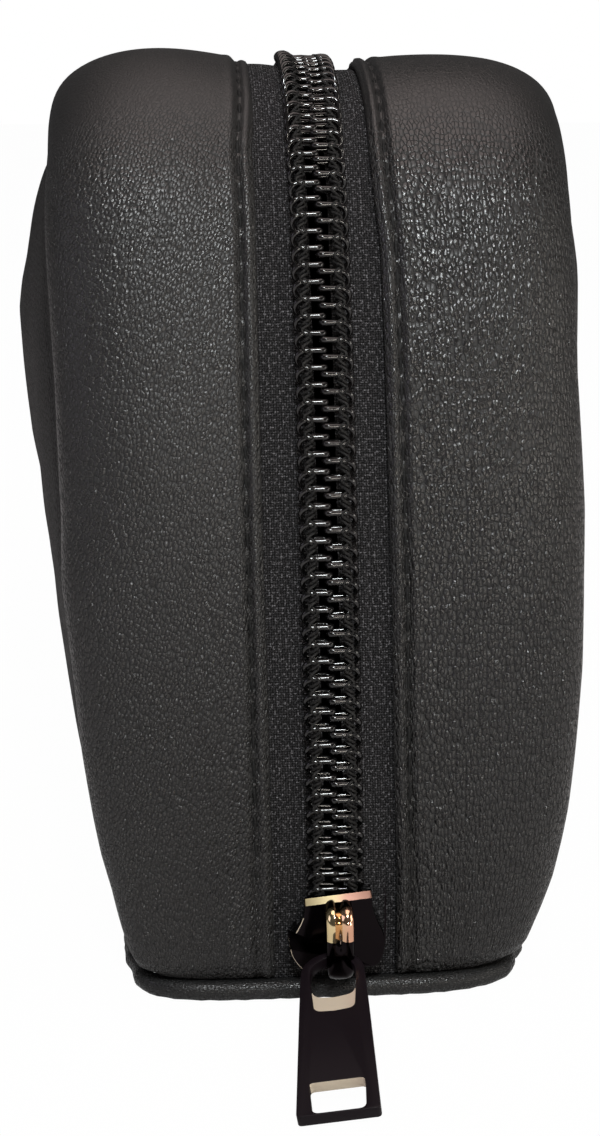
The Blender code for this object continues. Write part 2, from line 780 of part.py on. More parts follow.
def build():
    """Make the whole bag."""
    clear_scene()
    parts = new_collection(OBJECT_NAME)
    tools = new_collection("cutters")
    leather = new_material("black_leather", (0.016, 0.015, 0.015), 0.48)
    cloth = new_material("black_cloth", (0.012, 0.012, 0.013), 0.9)
    foam = new_material("grey_foam", (0.32, 0.32, 0.33), 0.95)
    board = new_material("base_board", (0.25, 0.21, 0.17), 0.85)
    nylon = new_material("black_nylon", (0.02, 0.02, 0.02), 0.25)
    metal = new_material("black_nickel", (0.12, 0.11, 0.11), 0.12, 1.0)
    make_gussets(parts, leather, cloth)
    make_side_panels(parts, leather, foam, cloth)
    make_pocket(parts, cloth)
    make_base(parts, leather, board, cloth)
    make_cords(parts, leather, cloth)
    make_tapes(parts, cloth)
    make_coils(parts, nylon)
    seat, tilt = slider_frame(tools)
    make_slider(parts, tools, seat, metal)
    make_bail(parts, seat, metal)
    make_puller(parts, tools, seat, tilt, metal)


build()
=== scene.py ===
"""The looks of a soft black toiletry bag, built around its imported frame.

X is the width, Y the length and Z is up, in metres. The near end, with the closed
slider, faces -Y, and the bag stands on z = 0.
"""

import logging
import math
from collections.abc import Callable, Iterator
from contextlib import contextmanager
from dataclasses import dataclass, field
from enum import Enum

import bpy
import numpy as np
from mathutils import Matrix, Vector


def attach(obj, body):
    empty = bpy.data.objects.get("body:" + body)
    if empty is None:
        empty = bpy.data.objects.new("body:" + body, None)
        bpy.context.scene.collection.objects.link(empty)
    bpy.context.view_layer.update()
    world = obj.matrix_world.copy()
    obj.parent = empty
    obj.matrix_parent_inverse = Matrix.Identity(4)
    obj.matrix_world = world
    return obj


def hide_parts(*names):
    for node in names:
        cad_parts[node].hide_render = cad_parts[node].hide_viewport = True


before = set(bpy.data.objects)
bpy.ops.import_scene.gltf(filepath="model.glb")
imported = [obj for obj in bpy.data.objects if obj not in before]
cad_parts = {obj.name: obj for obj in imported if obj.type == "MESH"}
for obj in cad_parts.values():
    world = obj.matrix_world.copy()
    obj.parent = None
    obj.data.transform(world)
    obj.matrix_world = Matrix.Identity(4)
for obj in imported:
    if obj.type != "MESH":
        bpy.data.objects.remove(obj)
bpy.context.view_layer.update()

MM = 0.001
PHOTO_HEIGHT = 1136
MERGE_DISTANCE = 0.0005 * MM
SHARP_DEGREES = 60.0

log = logging.getLogger("toiletry_bag")


class Side(Enum):
    """The bag's two halves, as seen from the closed slider's end."""

    LEFT = -1
    RIGHT = 1

    @property
    def word(self) -> str:
        """The side's name, as the frame's nodes spell it."""
        return self.name.lower()

    def read(self, table: tuple, height: np.ndarray) -> np.ndarray:
        """Look up this side's values in a table by height.

        Args:
            table: Rows of height, left value and right value, in millimetres.
            height: Heights in metres.

        Returns:
            The values in metres.
        """
        rows = np.array(table) * MM
        return np.interp(height, rows[:, 0], rows[:, 1 if self is Side.LEFT else 2])


class Grain(Enum):
    """Which way the leather's pebbles are drawn out, as an angle from the zip."""

    ALONG = 0.0
    LEANING = math.radians(28.0)
    ACROSS = math.radians(90.0)


# Shared bench work


class Bench:
    """Operations that several sub-assemblies share."""

    @staticmethod
    def pick(piece: bpy.types.Object) -> None:
        """Make one object the only selected and active one.

        Args:
            piece: The object to work on.
        """
        bpy.ops.object.select_all(action="DESELECT")
        piece.select_set(True)
        bpy.context.view_layer.objects.active = piece

    @staticmethod
    @contextmanager
    def editing(piece: bpy.types.Object) -> Iterator[None]:
        """Hold an object in edit mode, with all of it selected.

        Args:
            piece: The object to edit.
        """
        Bench.pick(piece)
        bpy.ops.object.mode_set(mode="EDIT")
        bpy.ops.mesh.select_all(action="SELECT")
        yield
        bpy.ops.object.mode_set(mode="OBJECT")

    @staticmethod
    def start(name: str, primitive: Callable, **sizes: object) -> bpy.types.Object:
        """Add a mesh primitive at the origin.

        Args:
            name: The new object's name.
            primitive: The operator that adds it.
            sizes: The operator's settings.

        Returns:
            The new object.
        """
        bpy.ops.object.select_all(action="DESELECT")
        primitive(location=(0.0, 0.0, 0.0), **sizes)
        piece = bpy.context.object
        piece.name = name
        return piece

    @staticmethod
    def sheet(name: str, rows: np.ndarray, spread: np.ndarray, outward: tuple) -> bpy.types.Object:
        """Lay a grid primitive over rows of points.

        Args:
            name: The piece's name.
            rows: Places as an array of rows by columns by three.
            spread: The same points on the flat sheet, rows by columns by two, in metres.
            outward: A direction that most of the faces look to.

        Returns:
            The new sheet, open at its borders.
        """
        count_down, count_across = rows.shape[:2]
        piece = Bench.start(
            name,
            bpy.ops.mesh.primitive_grid_add,
            x_subdivisions=count_across - 1,
            y_subdivisions=count_down - 1,
            size=1.0,
        )
        mesh = piece.data
        mesh.name = name
        mesh.vertices.foreach_set("co", rows.reshape(-1).astype(np.float32))
        corner_points = np.zeros(len(mesh.loops), dtype=np.int32)
        mesh.loops.foreach_get("vertex_index", corner_points)
        flat = spread.reshape(-1, 2)[corner_points].astype(np.float32)
        mesh.uv_layers[0].data.foreach_set("uv", flat.reshape(-1))
        mesh.update()
        normals = np.zeros(len(mesh.polygons) * 3, dtype=np.float32)
        mesh.polygons.foreach_get("normal", normals)
        if normals.reshape(-1, 3).mean(axis=0) @ np.array(outward) < 0:
            with Bench.editing(piece):
                bpy.ops.mesh.flip_normals()
        return piece

    @staticmethod
    def merge(piece: bpy.types.Object, turn_out: bool) -> None:
        """Join points that coincide.

        Args:
            piece: The object to clean.
            turn_out: Whether to turn the faces of the closed shape outwards too.
        """
        with Bench.editing(piece):
            bpy.ops.mesh.remove_doubles(threshold=MERGE_DISTANCE)
            bpy.ops.mesh.dissolve_degenerate(threshold=MERGE_DISTANCE)
            if turn_out:
                bpy.ops.mesh.normals_make_consistent(inside=False)

    @staticmethod
    def sweep(name: str, rings: np.ndarray, spread: np.ndarray) -> bpy.types.Object:
        """Skin a row of closed rings, with a cap at each end.

        Args:
            name: The piece's name.
            rings: Places as an array of rings by points by three.
            spread: The same points on the flat sheet, in metres.

        Returns:
            The closed shape.
        """
        closed = np.concatenate([rings, rings[:, :1]], axis=1)
        flat = np.concatenate([spread, spread[:, :1]], axis=1)
        first = np.repeat(closed[:1].mean(axis=1, keepdims=True), closed.shape[1], axis=1)
        last = np.repeat(closed[-1:].mean(axis=1, keepdims=True), closed.shape[1], axis=1)
        piece = Bench.sheet(
            name,
            np.concatenate([first, closed, last]),
            np.concatenate([flat[:1], flat, flat[-1:]]),
            (0.0, 0.0, 1.0),
        )
        Bench.merge(piece, True)
        return piece

    @staticmethod
    def cords(
        name: str, strands: list, radius: float, fineness: int, swell: list
    ) -> bpy.types.Object:
        """Round strands through lists of points, as one mesh.

        Args:
            name: The piece's name.
            strands: One array of points for each strand.
            radius: The strands' radius.
            fineness: The curve's bevel resolution.
            swell: One array of radius factors for each strand, or an empty list.

        Returns:
            The strands as one mesh with closed ends.
        """
        curve = bpy.data.curves.new(name, "CURVE")
        curve.dimensions = "3D"
        curve.bevel_depth = radius
        curve.bevel_resolution = fineness
        curve.use_fill_caps = True
        for index, points in enumerate(strands):
            spline = curve.splines.new("POLY")
            spline.points.add(len(points) - 1)
            places = np.concatenate([points, np.ones((len(points), 1))], axis=1)
            spline.points.foreach_set("co", places.reshape(-1).astype(np.float32))
            if swell:
                spline.points.foreach_set("radius", swell[index].astype(np.float32))
        piece = bpy.data.objects.new(name, curve)
        bpy.context.scene.collection.objects.link(piece)
        Bench.pick(piece)
        bpy.ops.object.convert(target="MESH")
        piece = bpy.context.object
        Bench.merge(piece, True)
        return piece

    @staticmethod
    def plate(name: str, outline: list, low: float, high: float) -> bpy.types.Object:
        """Extrude a flat outline between two heights.

        Args:
            name: The piece's name.
            outline: Points (x, y) round the plate.
            low: The height of its lower face.
            high: The height of its upper face.

        Returns:
            The closed plate.
        """
        circle = bpy.ops.mesh.primitive_circle_add
        piece = Bench.start(name, circle, vertices=len(outline), radius=1.0, fill_type="NGON")
        for vertex, (x, y) in zip(piece.data.vertices, outline):
            vertex.co = (x, y, low)
        with Bench.editing(piece):
            rise = {"value": (0.0, 0.0, high - low)}
            bpy.ops.mesh.extrude_region_move(TRANSFORM_OT_translate=rise)
            bpy.ops.mesh.select_all(action="SELECT")
            bpy.ops.mesh.normals_make_consistent(inside=False)
        return piece

    @staticmethod
    def apply(piece: bpy.types.Object, kind: str, **settings: object) -> None:
        """Add a modifier with its settings and apply it.

        Args:
            piece: The object to change.
            kind: The modifier's type.
            settings: Its settings by name.
        """
        Bench.pick(piece)
        step = piece.modifiers.new(kind.lower(), kind)
        for key, value in settings.items():
            setattr(step, key, value)
        bpy.ops.object.modifier_apply(modifier=step.name)

    @staticmethod
    def soften(piece: bpy.types.Object, width: float, degrees: float, **settings: object) -> None:
        """Round a piece's edges.

        Args:
            piece: The object to change.
            width: The bevel's width.
            degrees: The angle from which an edge is rounded.
            settings: The modifier's other settings.
        """
        limit = {"limit_method": "ANGLE", "angle_limit": math.radians(degrees)}
        Bench.apply(piece, "BEVEL", width=width, segments=3, **limit, **settings)

    @staticmethod
    def thicken(piece: bpy.types.Object, wall: float) -> None:
        """Give a sheet its thickness, inwards."""
        Bench.apply(piece, "SOLIDIFY", thickness=wall, offset=-1.0, use_even_offset=False)

    @staticmethod
    def combine(piece: bpy.types.Object, operation: str, tool: bpy.types.Object) -> None:
        """Cut a piece with a tool, or join the tool to it, and delete the tool.

        Args:
            piece: The object to change.
            operation: DIFFERENCE or UNION.
            tool: The other shape.
        """
        Bench.apply(piece, "BOOLEAN", operation=operation, solver="EXACT", object=tool)
        bpy.data.objects.remove(tool, do_unlink=True)

    @staticmethod
    def place(piece: bpy.types.Object, matrix: Matrix) -> None:
        """Move a piece's mesh, and leave its object at the origin.

        Args:
            piece: The object to place.
            matrix: Where its own frame lies.
        """
        piece.data.transform(matrix)
        piece.data.update()

    @staticmethod
    def issue(
        piece: bpy.types.Object,
        body: str,
        slot: str,
        material: bpy.types.Material,
        *stands_for: str,
        sharp: float = SHARP_DEGREES,
    ) -> None:
        """Shade and dress a finished piece, and tie it to the frame.

        Args:
            piece: The finished object.
            body: The body that it moves with.
            slot: The name of a material slot; not used.
            material: Its material, unless it has some already.
            stands_for: The nodes that it replaces.
            sharp: The angle in degrees from which an edge stays sharp.
        """
        Bench.pick(piece)
        bpy.ops.object.shade_smooth_by_angle(angle=math.radians(sharp))
        if not piece.data.materials:
            piece.data.materials.append(material)
        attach(piece, body)
        if stands_for:
            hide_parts(*stands_for)
        log.info("%s: %d faces on body %s", piece.name, len(piece.data.polygons), body)


def ripple(first: np.ndarray, second: np.ndarray, seed: float) -> np.ndarray:
    """A soft irregular height from two sheet coordinates counted in wavelengths.

    Args:
        first: The coordinate along the sheet.
        second: The coordinate across it.
        seed: A phase that sets one sheet apart from another.

    Returns:
        Heights of roughly -1 to 1.
    """
    turn = 2.0 * math.pi
    total = np.sin(turn * (first + 0.31 * second) + seed)
    total = total + 0.7 * np.sin(turn * (0.57 * first - 0.83 * second) + 2.1 * seed + 1.3)
    total = total + 0.5 * np.sin(turn * (1.63 * first + 0.47 * second) + 0.7 * seed + 4.0)
    return total / 2.2


def smooth_step(value: np.ndarray) -> np.ndarray:
    """Ease a value from 0 to 1, held at both ends."""
    share = np.clip(value, 0.0, 1.0)
    return share * share * (3.0 - 2.0 * share)


def bell(offset: np.ndarray, width: float) -> np.ndarray:
    """A rounded bump of height 1 that dies away a little past its width."""
    return np.exp(-((offset / width) ** 2))


def rounded_outline(corners: list, steps: int) -> list:
    """Round the corners of a polygon.

    Args:
        corners: Points (x, y, radius) in order.
        steps: Segments in each rounded corner.

    Returns:
        Points (x, y) of the rounded outline.
    """
    outline = []
    count = len(corners)
    for index, (x, y, radius) in enumerate(corners):
        here = Vector((x, y))
        before = Vector(corners[index - 1][:2]) - here
        after = Vector(corners[(index + 1) % count][:2]) - here
        if radius <= 0.0:
            outline.append((x, y))
            continue
        start = here + before.normalized() * min(radius, before.length / 2)
        end = here + after.normalized() * min(radius, after.length / 2)
        for step in range(steps + 1):
            share = step / steps
            point = start * (1 - share) ** 2 + here * 2 * share * (1 - share) + end * share**2
            outline.append((point.x, point.y))
    return outline


# The shape that every soft part follows


@dataclass
class ZipPath:
    """The line over the coil's top: an end arc, a shoulder arc and a sagging top."""

    half_length: float = 120.0 * MM
    foot_height: float = 3.2 * MM
    end_radius: float = 225.0 * MM
    shoulder_radius: float = 34.3 * MM
    foot_tilt: float = math.radians(-3.9)
    shoulder_tilt: float = math.radians(21.9)
    top_sag: float = 1.0 * MM
    far_drop: float = 4.0 * MM
    sways: tuple = (
        (0.0, 0.5), (20.0, 0.35), (45.0, -0.1), (65.0, -0.33), (90.0, -0.5), (113.0, -0.75),
        (124.0, -0.6),
    )
    sway_core: float = 9.0 * MM
    sway_width: float = 26.0 * MM
    far_shift: float = 0.9 * MM
    far_fade: float = 25.0 * MM
    arc_samples: int = 120
    stations: np.ndarray = field(init=False)
    run: np.ndarray = field(init=False)

    def __post_init__(self) -> None:
        """Sample the path from the near foot to the far one, which lies lower."""
        foot = np.array([-self.half_length, self.foot_height, self.foot_tilt])
        end = self.arc(foot, self.shoulder_tilt, self.end_radius)
        shoulder = self.arc(end[-1], math.pi / 2, self.shoulder_radius)
        rising = np.concatenate([end, shoulder[1:]])
        crest = rising[-1]
        near = np.concatenate([rising, self.top(crest, self.top_sag + self.far_drop)])
        far = np.concatenate([rising, self.top(crest, self.top_sag)[:-1]])[::-1]
        lower = (far[:, 1] - self.foot_height) * self.far_drop / (crest[1] - self.foot_height)
        far = np.stack([-far[:, 0], far[:, 1] - lower, math.pi - far[:, 2]], axis=1)
        self.stations = np.concatenate([near, far])
        steps = np.hypot(np.diff(self.stations[:, 0]), np.diff(self.stations[:, 1]))
        self.run = np.concatenate([[0.0], np.cumsum(steps)])

    def arc(self, start: np.ndarray, end_tilt: float, radius: float) -> np.ndarray:
        """Stations of an arc.

        Args:
            start: The first station, as (y, z, tilt).
            end_tilt: The tilt at the arc's end.
            radius: Its radius.

        Returns:
            Stations (y, z, tilt), the first one included.
        """
        tilts = np.linspace(start[2], end_tilt, self.arc_samples)
        centre_y = start[0] + radius * math.cos(start[2])
        centre_z = start[1] - radius * math.sin(start[2])
        y, z = centre_y - radius * np.cos(tilts), centre_z + radius * np.sin(tilts)
        return np.stack([y, z, tilts], axis=1)

    def top(self, crest: np.ndarray, fall: float) -> np.ndarray:
        """Stations from a crest to the middle of the top.

        Args:
            crest: The station at the crest, as (y, z, tilt).
            fall: How much lower the middle lies.

        Returns:
            Stations (y, z, tilt), the crest not included.
        """
        turn = np.linspace(0.0, math.pi, self.arc_samples)[1:]
        slope = fall * math.pi * np.sin(turn) / (2 * abs(crest[0]))
        y = crest[0] - crest[0] * turn / math.pi
        z = crest[1] - fall * (1 - np.cos(turn)) / 2
        return np.stack([y, z, crest[2] + np.arctan(slope)], axis=1)

    @property
    def length(self) -> float:
        """The whole length from foot to foot."""
        return float(self.run[-1])

    @property
    def crest(self) -> float:
        """The height of the highest station."""
        return float(self.stations[:, 1].max())

    def at(self, distance: np.ndarray) -> tuple:
        """The path at a distance from the near foot.

        Args:
            distance: Distances along the path.

        Returns:
            Arrays of y, z and tilt.
        """
        y = np.interp(distance, self.run, self.stations[:, 0])
        z = np.interp(distance, self.run, self.stations[:, 1])
        tilt = np.interp(distance, self.run, self.stations[:, 2])
        return y, z, tilt

    def point(self, x: np.ndarray, distance: np.ndarray, level: np.ndarray) -> np.ndarray:
        """Places beside the path.

        Args:
            x: Distances to the right of the path.
            distance: Distances along it.
            level: Depths below the coil's top.

        Returns:
            Points, with the arrays' shape and a last axis of three.
        """
        x, distance, level = np.broadcast_arrays(x, distance, level)
        y, z, tilt = self.at(distance)
        x = x + self.sway(x, distance)
        return np.stack([x, y + np.cos(tilt) * level, z - np.sin(tilt) * level], axis=-1)

    def sway(self, x: np.ndarray, distance: np.ndarray) -> np.ndarray:
        """How far the zip strays to the right of the bag's middle.

        Args:
            x: Distances to the right of the path.
            distance: Distances along it.

        Returns:
            Shifts to the right, which fade out towards the corners.
        """
        table = np.array(self.sways) * MM
        shift = np.interp(self.at(distance)[1], table[:, 0], table[:, 1])
        crest_run = self.run[2 * self.arc_samples - 2]
        past = smooth_step((distance - crest_run) / self.far_fade)
        shift = shift * (1 - past) + self.far_shift * past
        reach = (np.abs(x) - self.sway_core) / (self.sway_width - self.sway_core)
        return shift * (1 - np.clip(reach, 0.0, 1.0))


@dataclass
class BagShape:
    """The outer skin's driving sizes and the lines that its panels share."""

    path: ZipPath
    zip_gap_half: float = 8.3 * MM
    foot_half_width: float = 26.6 * MM
    top_half_width: float = 37.0 * MM
    foot_corner_depth: float = 7.5 * MM
    top_corner_depth: float = 12.5 * MM
    width_rise_power: float = 0.4
    depth_rise_power: float = 0.8
    base_half_width: float = 28.9 * MM
    leather_sink: float = 0.7 * MM
    seam_radius: float = 0.8 * MM
    seam_tuck: float = 2.5
    wall: float = 0.5 * MM
    left_crown: float = 1.8 * MM
    right_crown: float = 1.05 * MM
    left_corner_power: float = 4.3
    right_corner_power: float = 3.9
    right_foot_power: float = 2.7
    foot_power_top: float = 28.0 * MM
    flank_power: float = 0.75
    trims: tuple = (
        (0.0, -1.3, -1.0), (3.0, -1.6, -1.2), (8.0, -1.4, -0.7), (15.0, -1.0, 0.5),
        (20.0, -0.35, 0.85), (25.0, 0.0, 1.1), (35.0, 0.5, 1.2), (45.0, 0.6, 1.2),
        (58.0, 1.1, 0.6), (67.0, 0.5, 0.3), (85.0, 0.2, -1.1), (100.0, 0.4, -1.5),
        (105.0, 0.4, -1.9), (111.0, 0.2, -2.1), (118.0, -0.3, -2.0), (122.0, -0.3, -1.9),
        (124.0, -0.4, -1.3),
    )
    edge_trims: tuple = (
        (0.0, 0.0, 0.0), (40.0, 0.1, -0.1), (65.0, 0.15, -0.25), (100.0, 0.0, -0.3),
        (106.0, -0.05, -0.85), (113.0, -0.1, -1.2), (119.0, -0.85, -1.2), (124.0, -0.9, -1.2),
    )

    def rise(self, distance: np.ndarray) -> np.ndarray:
        """How far up the bag each station lies, from 0 at the foot to 1 at the top."""
        height = self.path.at(distance)[1] - self.path.foot_height
        return np.clip(height / (self.path.crest - self.path.foot_height), 0.0, 1.0)

    def half_width(self, side: Side, distance: np.ndarray) -> np.ndarray:
        """The distance from the middle to the corner seam.

        Args:
            side: Which half of the bag.
            distance: Distances along the path.

        Returns:
            Half widths.
        """
        spread = self.top_half_width - self.foot_half_width
        trim = side.read(self.trims, self.path.at(distance)[1])
        return self.foot_half_width + spread * self.rise(distance) ** self.width_rise_power + trim

    def corner_depth(self, distance: np.ndarray) -> np.ndarray:
        """How far the corner seam lies below the leather beside the zip."""
        spread = self.top_corner_depth - self.foot_corner_depth
        return self.foot_corner_depth + spread * self.rise(distance) ** self.depth_rise_power

    def corner_power(self, side: Side, distance: np.ndarray) -> np.ndarray:
        """How square the corner is: 2 for a quarter ellipse, more for a squarer one.

        Args:
            side: Which half of the bag.
            distance: Distances along the path.

        Returns:
            The power at each distance.
        """
        if side is Side.LEFT:
            return np.full_like(distance, self.left_corner_power)
        low = 1 - smooth_step(self.path.at(distance)[1] / self.foot_power_top)
        return self.right_corner_power + (self.right_foot_power - self.right_corner_power) * low

    def puff(self, side: Side, share: np.ndarray, distance: np.ndarray) -> np.ndarray:
        """How far the leather bulges between the zip and the corner.

        Args:
            side: Which half of the bag.
            share: Shares of the way from the zip to the corner.
            distance: Distances along the path.

        Returns:
            Heights above the plain skin.
        """
        crown = self.left_crown if side is Side.LEFT else self.right_crown
        return crown * self.rise(distance) ** self.depth_rise_power * np.sin(math.pi * share)

    def seam(self, side: Side, distance: np.ndarray) -> np.ndarray:
        """The corner seam's line.

        Args:
            side: Which half of the bag.
            distance: Distances along the path.

        Returns:
            Points of the seam.
        """
        depth = self.leather_sink + self.corner_depth(distance)
        return self.path.point(side.value * self.half_width(side, distance), distance, depth)

    def flank(self, side: Side, count: int) -> np.ndarray:
        """The lower edge of a side, from the far corner to the near one.

        Args:
            side: Which half of the bag.
            count: The number of steps.

        Returns:
            Points between the two corners, which aren't included.
        """
        reach = self.seam(side, np.array([self.path.length]))[0, 1]
        y = np.linspace(reach, -reach, count + 1)[1:-1]
        swell = (1 - (y / reach) ** 2) ** self.flank_power
        spread = self.base_half_width - self.foot_half_width
        x = side.value * (self.foot_half_width + spread * swell)
        return np.stack([x, y, np.full_like(y, self.path.foot_height)], axis=1)


# Finishes


class Graph:
    """A node tree that is filled in by short calls."""

    def __init__(self, tree: bpy.types.NodeTree) -> None:
        """Take over a tree and empty it.

        Args:
            tree: The tree to fill.
        """
        self.tree = tree
        tree.nodes.clear()

    def add(self, kind: str, inputs: dict | None = None, **settings: object) -> bpy.types.Node:
        """Add a node.

        Args:
            kind: The node's type.
            inputs: Sockets or plain values, by the input's name or number.
            settings: Properties by name.

        Returns:
            The new node.
        """
        node = self.tree.nodes.new(kind)
        for key, value in settings.items():
            setattr(node, key, value)
        for key, source in (inputs or {}).items():
            self.join(source, node.inputs[key])
        return node

    def join(self, source: object, target: bpy.types.NodeSocket) -> None:
        """Link a socket, or set a plain value, into an input.

        Args:
            source: A socket, number, colour or vector.
            target: The input.
        """
        if isinstance(source, bpy.types.NodeSocket):
            self.tree.links.new(source, target)
        else:
            target.default_value = source

    def math(self, operation: str, first: object, second: object = 0.0) -> bpy.types.NodeSocket:
        """Calculate with two values or sockets.

        Args:
            operation: The Math node's operation.
            first: The first value or socket.
            second: The second value or socket.

        Returns:
            The result.
        """
        return self.add("ShaderNodeMath", {0: first, 1: second}, operation=operation).outputs[0]

    def remap(
        self, value: object, low: float, high: float, out_low: float = 0.0, out_high: float = 1.0
    ) -> bpy.types.NodeSocket:
        """Ease a value from one range to another, clamped.

        Args:
            value: The value or socket.
            low: The start of the first range.
            high: Its end.
            out_low: The start of the second range.
            out_high: Its end.

        Returns:
            The mapped value.
        """
        inputs = dict(enumerate((value, low, high, out_low, out_high)))
        return self.add("ShaderNodeMapRange", inputs, interpolation_type="SMOOTHSTEP").outputs[0]

    def blend(self, share: object, first: object, second: object) -> bpy.types.NodeSocket:
        """Mix two colours.

        Args:
            share: How much of the second colour.
            first: The first colour or socket.
            second: The second colour or socket.

        Returns:
            The mixed colour.
        """
        inputs = {0: share, 6: first, 7: second}
        return self.add("ShaderNodeMix", inputs, data_type="RGBA").outputs[2]

    def noise(self, vector: object, scale: float, detail: float) -> bpy.types.NodeSocket:
        """Add a noise texture and give its value."""
        inputs = {"Vector": vector, "Scale": scale, "Detail": detail}
        return self.add("ShaderNodeTexNoise", inputs).outputs[0]

    def mapped(self, vector: object, scale: tuple, angle: float) -> bpy.types.NodeSocket:
        """Turn a vector about Z, then scale it.

        Args:
            vector: The vector.
            scale: The scale along each axis.
            angle: The angle.

        Returns:
            The mapped vector.
        """
        inputs = {"Vector": vector, "Angle": angle}
        turned = self.add("ShaderNodeVectorRotate", inputs, rotation_type="Z_AXIS").outputs[0]
        inputs = {0: turned, 1: scale}
        return self.add("ShaderNodeVectorMath", inputs, operation="MULTIPLY").outputs[0]

    def mix(self, share: object, first: bpy.types.Node, second: bpy.types.Node, kind: str) -> None:
        """Mix two shaders and end the tree with them.

        Args:
            share: How much of the second shader.
            first: The first shader.
            second: The second shader.
            kind: What the tree shades: Material or World.
        """
        inputs = {0: share, 1: first.outputs[0], 2: second.outputs[0]}
        self.end(self.add("ShaderNodeMixShader", inputs), kind)

    def end(self, shader: bpy.types.Node, kind: str) -> None:
        """Join a shader to a new output of a kind: Material or World."""
        self.add(f"ShaderNodeOutput{kind}", {"Surface": shader.outputs[0]})


class Effects:
    """Node groups that more than one material uses, each built once."""

    built: dict = {}

    @classmethod
    def start(cls, name: str, outputs: tuple, *factors: str) -> tuple:
        """Begin a group that takes a vector.

        Args:
            name: The group's name.
            outputs: Names of its value outputs.
            factors: Names of its value inputs.

        Returns:
            The graph, the group's input node and its output node.
        """
        tree = bpy.data.node_groups.new(name, "ShaderNodeTree")
        tree.interface.new_socket(name="Vector", in_out="INPUT", socket_type="NodeSocketVector")
        for label in factors:
            tree.interface.new_socket(name=label, in_out="INPUT", socket_type="NodeSocketFloat")
        for label in outputs:
            tree.interface.new_socket(name=label, in_out="OUTPUT", socket_type="NodeSocketFloat")
        graph = Graph(tree)
        return graph, graph.add("NodeGroupInput"), graph.add("NodeGroupOutput")

    @classmethod
    def use(cls, graph: Graph, name: str, **values: object) -> bpy.types.Node:
        """Place a group in a material.

        Args:
            graph: The material's graph.
            name: The group's name.
            values: Sockets or values for its inputs.

        Returns:
            The group node.
        """
        if name not in cls.built:
            cls.built[name] = getattr(cls, name)()
        return graph.add("ShaderNodeGroup", values, node_tree=cls.built[name])

    @classmethod
    def pebble(cls) -> bpy.types.NodeTree:
        """Pebbled leather: round pebbles with fine creases between them.

        Returns:
            The group.
        """
        graph, given, result = cls.start("pebble", ("Height", "Tops"), "Roughening")
        vector = given.outputs["Vector"]
        bend_inputs = {"Vector": vector, "Scale": 0.9, "Detail": 1.0}
        bend = graph.add("ShaderNodeTexNoise", bend_inputs, noise_dimensions="2D")
        shift_inputs = {0: bend.outputs["Color"], "Scale": 0.55}
        shift = graph.add("ShaderNodeVectorMath", shift_inputs, operation="SCALE")
        moved = graph.add("ShaderNodeVectorMath", {0: vector, 1: shift.outputs[0]}, operation="ADD")
        cells, edges = (
            graph.add(
                "ShaderNodeTexVoronoi",
                {"Vector": moved.outputs[0], "Scale": 1.0, "Randomness": 0.85},
                voronoi_dimensions="2D",
                feature=feature,
            )
            for feature in ("F1", "DISTANCE_TO_EDGE")
        )
        dome = graph.math("SUBTRACT", 1.0, graph.math("POWER", cells.outputs["Distance"], 1.8))
        size = graph.remap(cells.outputs["Color"], 0.0, 1.0, 0.5, 1.0)
        crease = graph.remap(edges.outputs["Distance"], 0.0, 0.12, 0.35, 1.0)
        dome = graph.math("MULTIPLY", graph.math("MULTIPLY", dome, size), crease)
        fine = graph.math("SUBTRACT", graph.noise(vector, 3.4, 3.0), 0.5)
        fine = graph.math("MULTIPLY", fine, given.outputs["Roughening"])
        graph.join(graph.math("ADD", dome, fine), result.inputs["Height"])
        graph.join(graph.remap(dome, 0.15, 0.75), result.inputs["Tops"])
        return graph.tree

    @classmethod
    def weave(cls) -> bpy.types.NodeTree:
        """A plain weave: warp and weft threads that pass over each other in turn.

        Returns:
            The group.
        """
        graph, given, result = cls.start("weave", ("Height", "Over"))
        vector = given.outputs["Vector"]
        parts = graph.add("ShaderNodeSeparateXYZ", {0: vector})
        wobble = graph.math("MULTIPLY", graph.noise(vector, 0.8, 2.0), 0.9)
        along, across = (graph.math("ADD", parts.outputs[axis], wobble) for axis in (0, 1))
        warp, weft = (
            graph.math("ABSOLUTE", graph.math("SINE", graph.math("MULTIPLY", way, math.pi)))
            for way in (across, along)
        )
        checks = graph.math("ADD", graph.math("FLOOR", along), graph.math("FLOOR", across))
        over = graph.math("FLOORED_MODULO", checks, 2.0)
        under = graph.math("SUBTRACT", 1.0, over)
        warp, weft = graph.math("MULTIPLY", warp, over), graph.math("MULTIPLY", weft, under)
        fuzz = graph.math("MULTIPLY", graph.noise(vector, 2.6, 3.0), 0.7)
        height = graph.math("ADD", graph.math("ADD", warp, weft), fuzz)
        graph.join(height, result.inputs["Height"])
        graph.join(over, result.inputs["Over"])
        return graph.tree

    @classmethod
    def mottle(cls) -> bpy.types.NodeTree:
        """Slow patches and fine specks, for handling marks and uneven dye.

        Returns:
            The group.
        """
        graph, given, result = cls.start("mottle", ("Patches", "Specks"))
        patches = graph.noise(given.outputs["Vector"], 45.0, 3.0)
        specks = graph.noise(given.outputs["Vector"], 1400.0, 2.0)
        graph.join(graph.remap(patches, 0.35, 0.65), result.inputs["Patches"])
        graph.join(graph.remap(specks, 0.5, 0.75), result.inputs["Specks"])
        return graph.tree


